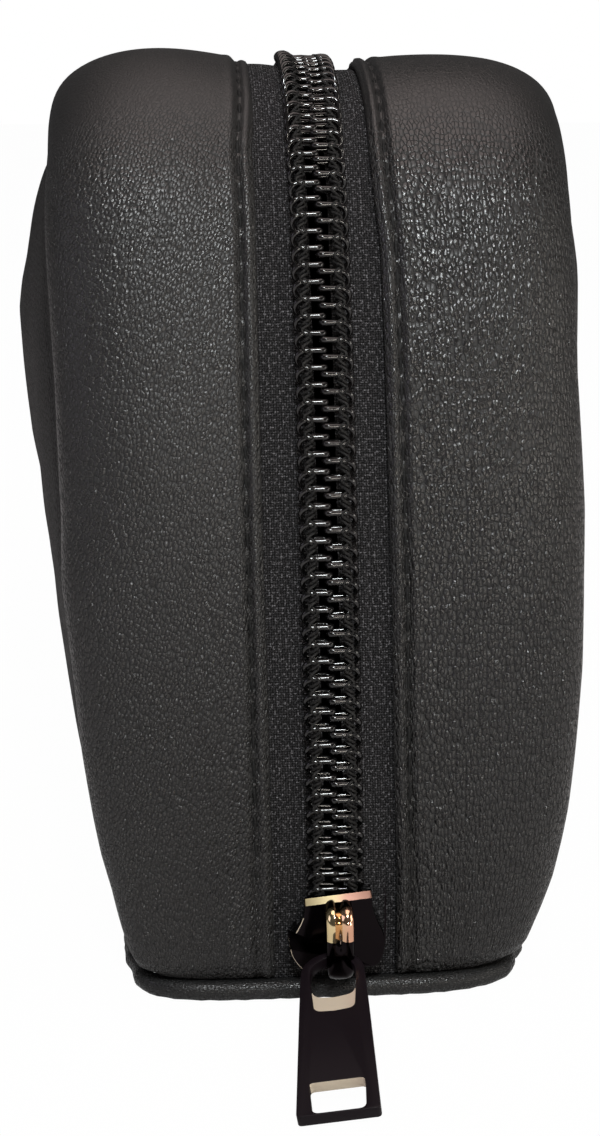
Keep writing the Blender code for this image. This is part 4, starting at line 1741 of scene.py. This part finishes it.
@dataclass
class ZipCoil:
    """One side's nylon coil, and the threads that sew it to its tape."""

    path: ZipPath
    side: Side
    head_reach: float
    filament_radius: float
    start: float
    crest_lift: float
    pitch: float = 2.25 * MM
    heel_reach: float = 3.95 * MM
    height: float = 1.9 * MM
    head_length: float = 0.22 * MM
    head_share: float = 0.10
    lower_share: float = 0.16
    leg_steps: int = 6
    head_steps: int = 5
    heel_steps: int = 9
    heel_bulge: float = 0.9 * MM
    heel_power: float = 0.7
    head_swell: float = 0.26
    lift_from: float = 112.0 * MM
    lift_rise: float = 10.0 * MM
    lift_inset: float = 1.2 * MM
    lift_width: float = 1.5 * MM
    thread_radius: float = 0.19 * MM
    inner_row: float = 1.75 * MM
    outer_row: float = 2.85 * MM
    thread_dip: float = 0.9 * MM
    thread_power: float = 0.4
    thread_steps: int = 10

    @property
    def turn_count(self) -> int:
        """How many teeth the coil has."""
        return int((self.path.length - 2 * self.start) / self.pitch) - 1

    def tooth(self) -> np.ndarray:
        """One turn of the filament: over to the head, round it, back below and round the heel.

        Returns:
            Rows of distance from the middle, depth, advance as a share of the pitch and swell.
        """
        half_rise = self.height / 2 - self.filament_radius
        bend = self.head_length
        head = self.filament_radius - self.head_reach + bend
        heel = self.heel_reach - self.filament_radius - self.heel_bulge
        rows = []
        for part in np.linspace(0.0, 1.0, self.leg_steps, endpoint=False):
            swell = 1 + self.head_swell * part**5
            rows.append((heel + (head - heel) * part, self.height / 2 - half_rise, 0.0, swell))
        for part in np.linspace(0.0, 1.0, self.head_steps, endpoint=False):
            turn = math.pi * part
            swell = 1 + self.head_swell * (1 - part)
            depth = self.height / 2 - half_rise * math.cos(turn)
            rows.append((head - bend * math.sin(turn), depth, self.head_share * part, swell))
        for part in np.linspace(0.0, 1.0, self.leg_steps, endpoint=False):
            advance = self.head_share + (self.lower_share - self.head_share) * part
            rows.append((head + (heel - head) * part, self.height / 2 + half_rise, advance, 1.0))
        for part in np.linspace(0.0, 1.0, self.heel_steps, endpoint=False):
            turn = math.pi * part
            advance = self.lower_share + (1 - self.lower_share) * part
            depth = self.height / 2 + half_rise * math.cos(turn)
            across = heel + self.heel_bulge * math.sin(turn) ** self.heel_power
            rows.append((across, depth, advance, 1.0))
        return np.array(rows)

    def make_coil(self) -> bpy.types.Object:
        """Build the coil as one unbroken filament.

        Returns:
            The coil.
        """
        tooth = self.tooth()
        turns = np.repeat(np.arange(self.turn_count), len(tooth))
        across, level, advance, swell = np.tile(tooth, (self.turn_count, 1)).T
        distance = self.start + (turns + advance) * self.pitch
        crest = smooth_step((self.path.at(distance)[1] - self.lift_from) / self.lift_rise)
        outer = smooth_step((across - self.lift_inset) / self.lift_width)
        level = level - self.crest_lift * crest * outer
        points = self.path.point(self.side.value * across, distance, level)
        name = f"nylon_coil_{self.side.word}"
        return Bench.cords(name, [points], self.filament_radius, 2, [swell])

    def make_threads(self) -> bpy.types.Object:
        """Build the two zigzag threads that pass over each leg of the coil.

        Returns:
            The threads.
        """
        count = self.turn_count * self.thread_steps
        turns = np.arange(count) / self.thread_steps
        strands = []
        for over_row, under_row, lead in (
            (self.outer_row, self.inner_row, 0.14),
            (self.inner_row, self.outer_row, -0.10),
        ):
            wave = (1 + np.cos(2 * math.pi * (turns - lead))) / 2
            across = under_row + (over_row - under_row) * wave
            level = self.thread_dip - self.thread_dip * wave**self.thread_power
            distance = self.start + turns * self.pitch
            strands.append(self.path.point(self.side.value * across, distance, level))
        return Bench.cords(f"coil_thread_{self.side.word}", strands, self.thread_radius, 1, [])

    def build(self, nylon: bpy.types.Material, thread: bpy.types.Material) -> None:
        """Make and issue the coil and its threads.

        Args:
            nylon: The filament's material.
            thread: The thread's material.
        """
        coil = self.make_coil()
        Bench.issue(coil, "bag", "coil", nylon, f"zip_coil_{self.side.word}")
        Bench.issue(self.make_threads(), "bag", "tape", thread)


@dataclass
class Slider:
    """The metal slider: its body round the chain, its bail and its puller."""

    path: ZipPath
    seat_distance: float = 7.6 * MM
    clearance: float = 0.3 * MM
    length: float = 10.8 * MM
    rear_half: float = 4.55 * MM
    shoulder_half: float = 6.8 * MM
    front_half: float = 5.0 * MM
    plate_thickness: float = 1.2 * MM
    tape_level: float = 2.2 * MM
    tape_thickness: float = 0.6 * MM
    tunnel: tuple = (-5.6 * MM, 4.5 * MM)
    right_trim: float = 0.6 * MM
    post_radius: float = 0.65 * MM
    post_place: float = -0.88 * MM
    post_inset: float = 2.6 * MM
    body_shift: float = 0.8 * MM
    skew: float = math.radians(2.8)
    rear_slant: float = 0.26 * MM
    chamfer: float = 0.72 * MM
    body_bevel: float = 0.24 * MM
    bail_shift: float = 0.6 * MM
    bail_skew: float = math.radians(1.2)
    bail_half: float = 1.85 * MM
    bail_thickness: float = 0.95 * MM
    bail_rise: float = 3.8 * MM
    bail_front: float = 4.8 * MM
    bail_rear: float = 4.2 * MM
    bail_steps: int = 64
    bail_points: int = 44
    bail_taper: float = 0.16
    bail_crown: float = 0.35 * MM
    groove_place: float = 0.12 * MM
    groove_width: float = 0.2 * MM
    groove_depth: float = 0.6 * MM
    glint_from: float = 0.75 * MM
    puller_thickness: float = 1.6 * MM
    puller_bevel: float = 0.2 * MM
    puller_length: float = 29.75 * MM
    puller_shift: float = -0.3 * MM
    pivot_drop: float = 2.8 * MM
    tip_height: float = 1.75 * MM
    puller_skew: float = math.radians(-3.4)
    puller_roll: float = math.radians(-9.5)
    eye_half: float = 4.25 * MM
    eye_top: float = 0.3 * MM
    ring_width: float = 1.1 * MM
    waist_half: float = 4.55 * MM
    waist_drop: float = 12.0 * MM
    tip_half: float = 5.12 * MM
    window_half: float = 3.0 * MM
    window_drop: float = 8.5 * MM
    window_sag: float = 0.4 * MM
    sill_patch_length: float = 2.75 * MM
    sill_patch_depth: float = 0.06 * MM
    slot_half: float = 3.5 * MM
    slot_length: float = 5.2 * MM
    slot_margin: float = 0.3 * MM

    def seat(self) -> Matrix:
        """The slider's frame: X across, Y into the bag and Z up along the path."""
        y, z, tilt = (float(value) for value in self.path.at(self.seat_distance))
        return Matrix.Translation((0.0, y, z)) @ Matrix.Rotation(-tilt, 4, "X")

    def turned(self, shift: float, skew: float) -> Matrix:
        """The slider's frame, moved across the chain and turned on it.

        Args:
            shift: How far to the right.
            skew: The turn about the path's outward direction.

        Returns:
            The frame.
        """
        return self.seat() @ Matrix.Translation((shift, 0.0, 0.0)) @ Matrix.Rotation(-skew, 4, "Y")

    def outline(self) -> list:
        """The body's plan: narrow and straight at the chain, wide at the shoulders.

        Returns:
            Points (x, y) round it.
        """
        half = self.length / 2

        def flank(way: int, trim: float) -> list:
            """One side's corners, from the chain to the front.

            Args:
                way: -1 for the left side, 1 for the right.
                trim: How much narrower it is.

            Returns:
                Points (x, y, radius).
            """
            wide = self.shoulder_half - trim
            return [
                (way * self.rear_half, half + way * self.rear_slant, 0.0),
                (way * self.rear_half, half - 2.6 * MM, 2.0 * MM),
                (way * wide, -half + 4.4 * MM, 1.3 * MM),
                (way * (wide - 0.2 * MM), -half + 2.3 * MM, 1.6 * MM),
                (way * self.front_half, -half, 0.9 * MM),
            ]

        corners = flank(1, self.right_trim) + flank(-1, 0.0)[::-1]
        return rounded_outline(corners[::-1], 6)

    def box(self, low: tuple, high: tuple, bevel: float = 0.0) -> bpy.types.Object:
        """Make a tool: a box between two corners.

        Args:
            low: Its lowest corner.
            high: Its highest corner.
            bevel: How far its edges are rounded, or 0.

        Returns:
            The box.
        """
        piece = Bench.start("tool", bpy.ops.mesh.primitive_cube_add, size=1.0)
        middle = [(a + b) / 2 for a, b in zip(low, high)]
        size = [b - a for a, b in zip(low, high)]
        Bench.place(piece, Matrix.Translation(middle) @ Matrix.Diagonal((*size, 1.0)))
        if bevel > 0.0:
            Bench.apply(piece, "BEVEL", width=bevel, segments=3, limit_method="NONE")
        return piece

    def chamfer_rear(self, body: bpy.types.Object, top: float) -> None:
        """Cut the upper edge at the chain's end to a slope.

        Args:
            body: The plain body.
            top: The height of its upper face.
        """
        with Bench.editing(body):
            bpy.ops.mesh.select_all(action="DESELECT")
        rear = self.length / 2 - self.rear_slant - 0.1 * MM
        for edge in body.data.edges:
            ends = [body.data.vertices[index].co for index in edge.vertices]
            edge.select = all(end.z > top - MERGE_DISTANCE and end.y > rear for end in ends)
        bpy.ops.object.mode_set(mode="EDIT")
        bpy.ops.mesh.select_mode(type="EDGE")
        bpy.ops.mesh.bevel(offset=self.chamfer, segments=1, affect="EDGES")
        bpy.ops.object.mode_set(mode="OBJECT")

    def make_body(self) -> bpy.types.Object:
        """Build the two plates, their side flanges and the post between them.

        Returns:
            The body.
        """
        top = self.clearance + self.plate_thickness
        bottom = self.tape_level + self.tape_thickness + top
        body = Bench.plate("slider", self.outline(), -bottom, top)
        self.chamfer_rear(body, top)
        Bench.soften(body, self.body_bevel, 50.0, use_clamp_overlap=False)
        left, right = self.tunnel
        reach = self.length
        floor = -(self.tape_level + self.tape_thickness / 2)
        tunnel = self.box((left, -reach, floor), (right, reach, self.clearance), 0.4 * MM)
        Bench.combine(body, "DIFFERENCE", tunnel)
        wide = 2 * self.shoulder_half
        low = -(self.tape_level + self.tape_thickness + self.clearance)
        slot = self.box((-wide, -reach, low), (wide, reach, self.clearance - self.tape_level))
        Bench.combine(body, "DIFFERENCE", slot)
        cylinder = bpy.ops.mesh.primitive_cylinder_add
        depth = top + bottom - self.plate_thickness
        post = Bench.start("post", cylinder, vertices=28, radius=self.post_radius, depth=depth)
        along = self.post_inset - self.length / 2
        Bench.place(post, Matrix.Translation((self.post_place, along, (top - bottom) / 2)))
        Bench.combine(body, "UNION", post)
        return body

    def make_bail(self) -> bpy.types.Object:
        """Build the arch over the plate, with the groove along its upper half.

        Returns:
            The bail.
        """
        foot = self.clearance + self.plate_thickness - 0.3 * MM
        top = foot + self.bail_rise - self.bail_thickness / 2
        corners = [
            (self.bail_rear - 0.1 * MM, foot, 0.0),
            (self.bail_rear, top, 2.3 * MM),
            (-self.bail_front, top + 0.25 * MM, 1.9 * MM),
            (-self.bail_front + 0.1 * MM, foot, 0.0),
        ]
        line = np.array(rounded_outline(corners, 12))
        run = np.concatenate([[0.0], np.cumsum(np.hypot(*np.diff(line, axis=0).T))])
        shares = np.linspace(0.0, 1.0, self.bail_steps + 1)
        along, out = (np.interp(shares * run[-1], run, line[:, axis]) for axis in (0, 1))
        slope = np.stack([np.gradient(along), np.gradient(out)], axis=1)
        slope /= np.linalg.norm(slope, axis=1, keepdims=True)
        turns = np.linspace(0.0, 2 * math.pi, self.bail_points, endpoint=False)[None, :]
        taper = 1 - self.bail_taper * smooth_step((shares - 0.6) / 0.4)[:, None]
        x = self.bail_half * taper * np.sign(np.cos(turns)) * np.abs(np.cos(turns)) ** 0.5
        proud = self.bail_thickness / 2 * np.sign(np.sin(turns)) * np.abs(np.sin(turns)) ** 0.6
        from_groove = x - self.groove_place
        lobe = (np.abs(from_groove) - self.bail_half / 2) / (self.bail_half / 2)
        lobed = (1 - smooth_step((shares - 0.44) / 0.12))[:, None]
        plain = 1 - (x / self.bail_half) ** 2
        crown = lobed * (1 - np.clip(lobe**2, 0.0, 1.5)) + (1 - lobed) * plain
        groove = self.groove_depth * lobed * bell(from_groove, self.groove_width)
        outer = np.clip(np.sin(turns) * 2, 0.0, 1.0)
        proud = proud + (self.bail_crown * crown - groove) * outer
        y = along[:, None] + slope[:, 1:2] * proud
        z = out[:, None] - slope[:, 0:1] * proud
        rings = np.stack([x, y, z], axis=-1)
        return Bench.sweep("bail", rings, rings[..., :2])

    def make_puller(self) -> bpy.types.Object:
        """Build the flat puller: its ring-shaped eye, its end slot and a shallow recessed patch
        below its window, whose floor takes a painted highlight.

        Returns:
            The puller.
        """
        half = self.puller_thickness / 2

        def arch(reach: float, top: float) -> list:
            """A half circle below a height, from right to left.

            Args:
                reach: The half circle's radius.
                top: The height of its top.

            Returns:
                Points (x, y).
            """
            turns = [math.pi * step / 16 for step in range(17)]
            middle = top - reach
            return [(reach * math.cos(turn), middle + reach * math.sin(turn)) for turn in turns]

        tail = [
            (-self.waist_half, -self.waist_drop, 0.0),
            (-self.tip_half, -self.puller_length, 0.6 * MM),
            (self.tip_half, -self.puller_length, 0.6 * MM),
            (self.waist_half, -self.waist_drop, 0.0),
        ]
        wide = self.window_half
        drop = -self.window_drop
        sill = [
            (-wide, drop + 2.4 * MM, 0.0),
            (-wide + 0.45 * MM, drop, 1.1 * MM),
            (0.0, drop - self.window_sag, 0.6 * MM),
            (wide - 0.25 * MM, drop, 1.1 * MM),
            (wide, drop + 2.4 * MM, 0.0),
        ]
        low = drop - self.sill_patch_length
        sill_patch = [
            (-wide + 0.2 * MM, drop + 0.9 * MM, 0.0),
            (-wide + 0.45 * MM, low, 0.9 * MM),
            (0.0, low - 0.3 * MM, 0.6 * MM),
            (wide - 0.3 * MM, low, 0.9 * MM),
            (wide - 0.05 * MM, drop + 0.9 * MM, 0.0),
        ]
        low = self.slot_margin - self.puller_length
        slot = [
            (self.slot_half, low + self.slot_length, 0.7 * MM),
            (-self.slot_half, low + self.slot_length, 0.7 * MM),
            (-self.slot_half + 0.35 * MM, low, 0.9 * MM),
            (self.slot_half - 0.1 * MM, low, 0.9 * MM),
        ]
        tail, sill, sill_patch, slot = (rounded_outline(line, 5) for line in (tail, sill, sill_patch, slot))
        window = arch(wide, self.eye_top - self.ring_width) + sill
        tab = Bench.plate("pull_tab", arch(self.eye_half, self.eye_top) + tail, -half, half)
        for hole in (window, slot):
            Bench.combine(tab, "DIFFERENCE", Bench.plate("tool", hole, -2 * half, 2 * half))
        Bench.soften(tab, self.puller_bevel, 40.0)
        patch = Bench.plate("tool", sill_patch, half - self.sill_patch_depth, 2 * half)
        Bench.combine(tab, "DIFFERENCE", patch)
        return tab

    def puller_frame(self) -> Matrix:
        """Where the puller hangs: from the bail, down to the table.

        Returns:
            The puller's own frame.
        """
        seat = self.seat()
        out = 3 * self.clearance + self.plate_thickness + self.puller_thickness / 2
        pivot = seat @ Vector((self.puller_shift, -out, -self.pivot_drop))
        droop = math.asin((pivot.z - self.tip_height) / self.puller_length)
        turn = Matrix.Rotation(droop, 4, "X") @ Matrix.Rotation(self.puller_skew, 4, "Z")
        return Matrix.Translation(pivot) @ turn @ Matrix.Rotation(self.puller_roll, 4, "Y")

    @staticmethod
    def paint_glint(piece: bpy.types.Object, finish: bpy.types.Material, test: Callable) -> None:
        """Give the faces that pass a test another finish: a painted highlight or reflection on the
        black plate.

        Args:
            piece: The dressed object.
            finish: The other finish.
            test: A function of a face's centre and normal.
        """
        piece.data.materials.append(finish)
        passed = [face for face in piece.data.polygons if test(face.center, face.normal)]
        for face in passed:
            face.material_index = len(piece.data.materials) - 1
        log.info("%s: %d faces in %s", piece.name, len(passed), finish.name)

    def on_bar(self, centre: Vector, normal: Vector) -> bool:
        """Whether a face lies on the sloped edge at the chain's end."""
        rear = self.length / 2 - self.chamfer - self.rear_slant
        return centre.y > rear and 0.5 < normal.z < 0.9 and normal.y > 0.5

    def on_wing(self, centre: Vector, normal: Vector) -> bool:
        """Whether a face lies on the rounded edge of the left wing."""
        outside = centre.x < -self.rear_half - 0.2 * MM and centre.z > 0.0
        return outside and 0.3 < normal.z < 0.95 and normal.x < -0.3

    def on_bail(self, centre: Vector, normal: Vector) -> bool:
        """Whether a face lies on the bail's bright half, outside its groove."""
        beside = abs(centre.x - self.groove_place) > self.groove_width
        return beside and centre.y > self.glint_from and normal.z > 0.15

    def on_slot(self, centre: Vector, normal: Vector) -> bool:
        """Whether a face is the upper wall of the puller's end slot."""
        top = self.slot_margin - self.puller_length + self.slot_length
        return abs(normal.z) < 0.5 and normal.y < -0.5 and abs(centre.y - top) < 0.2 * MM

    def on_sill(self, centre: Vector, normal: Vector) -> bool:
        """Whether a face is the bottom of the recessed patch below the window, which takes a
        painted highlight.
        """
        top = self.puller_thickness / 2 - self.sill_patch_depth / 2
        return normal.z > 0.9 and 0.0 < centre.z < top and centre.y < -0.5 * self.window_drop

    def build(self, platings: Platings) -> None:
        """Make and issue the slider's pieces.

        Args:
            platings: Its materials.
        """
        stand = Matrix.Rotation(math.pi / 2, 4, "X")
        body = self.make_body()
        body.data.materials.append(platings.dark)
        # Painted reflection and highlight: a warm tint on the sloped rear edge, and a light
        # cream-to-tan rim on the left wing.
        self.paint_glint(body, platings.bar, self.on_bar)
        self.paint_glint(body, platings.rim, self.on_wing)
        Bench.place(body, self.turned(self.body_shift, self.skew) @ stand)
        Bench.issue(body, "slider", "slider_metal", platings.dark, "slider_body", sharp=35.0)
        bail = self.make_bail()
        bail.data.materials.append(platings.dark)
        # Painted reflection: the bail's upper half, outside its groove, takes a gold-to-copper
        # tint.
        self.paint_glint(bail, platings.bail_glint, self.on_bail)
        Bench.place(bail, self.turned(self.bail_shift, self.bail_skew) @ stand)
        Bench.issue(bail, "slider", "slider_metal", platings.dark, "slider_bail", sharp=40.0)
        tab = self.make_puller()
        tab.data.materials.append(platings.flat)
        # Painted highlights: a light cream-to-tan on the end slot's upper wall and on the patch
        # below the window.
        self.paint_glint(tab, platings.rim, self.on_slot)
        self.paint_glint(tab, platings.rim, self.on_sill)
        Bench.place(tab, self.puller_frame())
        Bench.issue(tab, "puller", "slider_metal", platings.flat, "puller", sharp=35.0)


# The nodes that stay as they are


@dataclass
class Interior:
    """The frame's own nodes inside, under and in the slider, with finer materials."""

    cloth_nodes: tuple = (
        "base_lining",
        "gusset_lining_left",
        "gusset_lining_right",
        "side_lining_left",
        "side_lining_right",
        "inner_pocket",
        "seam_binding_left",
        "seam_binding_right",
    )
    foam_nodes: tuple = ("side_padding_left", "side_padding_right")
    foam_colours: tuple = ((0.22, 0.22, 0.23, 1), (0.36, 0.36, 0.37, 1))
    foam_cell: float = 0.6 * MM
    board_colours: tuple = ((0.03, 0.026, 0.022, 1), (0.05, 0.044, 0.038, 1))
    board_cell: float = 1.4 * MM

    def dress(self, name: str, material: bpy.types.Material) -> None:
        """Give a node one material.

        Args:
            name: The node.
            material: Its material.
        """
        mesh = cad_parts[name].data
        mesh.materials.clear()
        mesh.materials.append(material)
        log.info("%s: dressed in %s", name, material.name)

    def build(
        self, lining: bpy.types.Material, under: bpy.types.Material, steel: bpy.types.Material
    ) -> None:
        """Dress the nodes.

        Args:
            lining: The lining's cloth.
            under: The leather of the base.
            steel: The metal of the slider's lock spring.
        """
        self.dress("lock_spring", steel)
        foam = PlainFinish("foam", *self.foam_colours, self.foam_cell).material()
        board = PlainFinish("stiff_board", *self.board_colours, self.board_cell).material()
        for name in self.cloth_nodes:
            self.dress(name, lining)
        for name in self.foam_nodes:
            self.dress(name, foam)
        self.dress("base_board", board)
        self.dress("base_panel", under)


# The studio


@dataclass
class Studio:
    """A pale floor, soft light and a camera at the photograph's viewing angle."""

    camera_place: tuple = (-21.50 * MM, -352.94 * MM, 124.89 * MM)
    camera_elevation: float = math.radians(15.3)
    camera_yaw: float = math.radians(4.2)
    focal_pixels: float = 1900.0
    sensor_height: float = 24.0
    floor_size: float = 6.0
    floor_colour: tuple = (0.62, 0.62, 0.62, 1.0)
    floor_glow: float = 0.985
    world_strength: float = 0.104
    aim: tuple = (0.0, -0.09, 0.07)
    lamps: tuple = (
        ("key", (-0.01, -0.71, 0.74), (0.15, 0.13), 7.0, (0.95, 0.99, 1.0)),
        ("low", (0.10, -0.80, 0.15), (0.10, 0.05), 0.8, (1.0, 0.92, 0.82)),
        ("overhead", (0.05, -0.12, 1.1), (1.1, 1.0), 6.8, (1.0, 0.85, 0.81)),
        ("right_fill", (0.75, -0.35, 0.30), (0.4, 0.4), 1.7, (1.0, 0.94, 0.86)),
        ("left_fill", (-0.8, -0.35, 0.35), (0.4, 0.4), 0.75, (0.88, 0.82, 1.0)),
        ("right_low", (0.50, -0.60, 0.05), (0.08, 0.12), 0.8, (1.0, 0.95, 0.88)),
    )

    def make_camera(self) -> None:
        """Create the camera and make it the scene's."""
        data = bpy.data.cameras.new("camera")
        data.sensor_fit = "VERTICAL"
        data.sensor_height = self.sensor_height
        data.lens = self.focal_pixels / PHOTO_HEIGHT * self.sensor_height
        data.clip_start = 0.01
        camera = bpy.data.objects.new("camera", data)
        turn = Matrix.Rotation(-self.camera_yaw, 4, "Z")
        tip = Matrix.Rotation(math.pi / 2 - self.camera_elevation, 4, "X")
        camera.matrix_world = Matrix.Translation(self.camera_place) @ turn @ tip
        bpy.context.scene.collection.objects.link(camera)
        bpy.context.scene.camera = camera

    def make_floor(self) -> None:
        """Lay the floor, white to the camera and with the bag's soft shadow."""
        floor = Bench.start("floor", bpy.ops.mesh.primitive_plane_add, size=self.floor_size)
        graph = MaterialGraph("pale_floor")
        rays = graph.add("ShaderNodeLightPath")
        seen = (rays.outputs["Is Camera Ray"], rays.outputs["Is Transmission Ray"])
        share = graph.math("MULTIPLY", graph.math("MAXIMUM", *seen), self.floor_glow)
        diffuse = graph.add("ShaderNodeBsdfDiffuse", {"Color": self.floor_colour})
        graph.mix(share, diffuse, graph.add("ShaderNodeEmission"), "Material")
        floor.data.materials.append(graph.material)

    def make_world(self) -> None:
        """A grey surround that looks white to the camera."""
        world = bpy.data.worlds.new("surround")
        world.use_nodes = True
        graph = Graph(world.node_tree)
        rays = graph.add("ShaderNodeLightPath")
        grey = graph.add("ShaderNodeBackground", {"Strength": self.world_strength})
        white = graph.add("ShaderNodeBackground", {"Color": (1.0, 1.0, 1.0, 1.0)})
        graph.mix(rays.outputs["Is Camera Ray"], grey, white, "World")
        bpy.context.scene.world = world

    def add_light(self, name: str, place: tuple, size: tuple, power: float, colour: tuple) -> None:
        """Hang a soft light that points at the bag.

        Args:
            name: The light's name.
            place: Where it hangs.
            size: Its width and height.
            power: Its power in watts.
            colour: Its colour.
        """
        data = bpy.data.lights.new(name, "AREA")
        data.shape = "RECTANGLE"
        data.size, data.size_y = size
        data.energy = power
        data.color = colour
        lamp = bpy.data.objects.new(name, data)
        lamp.location = place
        aim = Vector(self.aim) - Vector(place)
        lamp.rotation_euler = aim.to_track_quat("-Z", "Y").to_euler()
        bpy.context.scene.collection.objects.link(lamp)

    def build(self) -> None:
        """Set up everything that isn't the bag."""
        self.make_camera()
        self.make_floor()
        self.make_world()
        for lamp in self.lamps:
            self.add_light(*lamp)
        bpy.context.scene.view_settings.view_transform = "Standard"
        log.info("studio ready")


def make_platings() -> Platings:
    """Build the slider's materials, each in two tones from left to right; the gold, brass and cream
    pairs are painted warm reflections and highlights.

    Returns:
        The materials.
    """
    black = (0.010, 0.008, 0.009, 1.0)
    plum = (0.0062, 0.0042, 0.0056, 1.0)
    gold, copper = (0.74, 0.60, 0.34, 1.0), (0.76, 0.42, 0.28, 1.0)
    brass, bronze = (0.20, 0.165, 0.095, 1.0), (0.155, 0.085, 0.065, 1.0)
    cream, tan = (0.56, 0.48, 0.37, 1.0), (0.52, 0.42, 0.33, 1.0)
    tin = (0.35, 0.34, 0.33, 1.0)
    satin = {"polish": 0.35, "smudge": 0.45, "metallic": 0.0, "specular": 0.1}
    dull = {"polish": 0.4, "smudge": 0.5}
    return Platings(
        dark=PlatingFinish("black_nickel", black, black).material(),
        flat=PlatingFinish("black_nickel_flat", plum, plum, **satin).material(),
        bail_glint=PlatingFinish("bail_glint_plating", gold, copper).material(),
        bar=PlatingFinish("bar_glint_plating", brass, bronze, **dull).material(),
        rim=PlatingFinish("rim_glint_plating", cream, tan, metallic=0.35, **dull).material(),
        steel=PlatingFinish("spring_steel", tin, tin).material(),
    )


def main() -> None:
    """Build the bag's pieces in order, then the studio."""
    logging.basicConfig(level=logging.INFO, format="%(name)s %(message)s")
    path = ZipPath()
    shape = BagShape(path)
    left_leather = LeatherFinish("leather_left", Grain.LEANING).material()
    right_leather = LeatherFinish(
        "leather_right",
        Grain.ALONG,
        pebble_width=0.52 * MM,
        pebble_length=1.05 * MM,
        pebble_height=0.24 * MM,
        top_roughness=0.13,
        foot_grain=3.2,
    ).material()
    side_leather = LeatherFinish(
        "leather_sides",
        Grain.ACROSS,
        pebble_height=0.08 * MM,
        specular=0.25,
        top_roughness=0.55,
        smooth_end=-1.0,
    ).material()
    piping_leather = LeatherFinish(
        "leather_piping",
        Grain.ALONG,
        lit_top_colour=(0.009, 0.009, 0.009, 1.0),
        specular=0.35,
        pebble_height=0.07 * MM,
        pebble_width=0.3 * MM,
        pebble_length=0.5 * MM,
        smooth_end=-1.0,
        foot_grain=1.0,
        crest_grain=1.0,
    ).material()
    deep, pale = (0.002, 0.002, 0.0022, 1.0), (0.13, 0.127, 0.133, 1.0)
    tape_cloth = ClothFinish("tape_weave", "UV", deep, pale, 0.34 * MM, 0.20 * MM).material()
    deep, pale = (0.006, 0.006, 0.007, 1.0), (0.02, 0.02, 0.022, 1.0)
    lining = ClothFinish("lining_weave", "Object", deep, pale, 0.35 * MM, 0.05 * MM).material()
    black, grey, warm = (0.003,) * 3 + (1.0,), (0.012,) * 3 + (1.0,), (0.020, 0.019, 0.018, 1.0)
    thread = ThreadFinish("leather_thread", black, grey).material()
    coil_thread = ThreadFinish("coil_sewing_thread", black, warm).material()
    nylon = NylonFinish().material()
    platings = make_platings()
    EndLeather(shape, Side.LEFT, 2.1 * MM, 0.6 * MM).build(left_leather, thread)
    EndLeather(shape, Side.RIGHT, 2.0 * MM, 0.1 * MM).build(right_leather, thread)
    for side in Side:
        SidePanel(shape, side).build(side_leather)
    ZipTape(shape, Side.LEFT, 1.1 * MM).build(tape_cloth)
    ZipTape(shape, Side.RIGHT, 0.3 * MM).build(tape_cloth)
    ZipCoil(path, Side.LEFT, 0.45 * MM, 0.38 * MM, 1.98 * MM, 0.7 * MM).build(nylon, coil_thread)
    ZipCoil(path, Side.RIGHT, 0.60 * MM, 0.38 * MM, 3.36 * MM, 0.25 * MM).build(nylon, coil_thread)
    BasePiping(shape).build(piping_leather)
    Slider(path).build(platings)
    Interior().build(lining, right_leather, platings.steel)
    Studio().build()


if __name__ == "__main__":
    main()
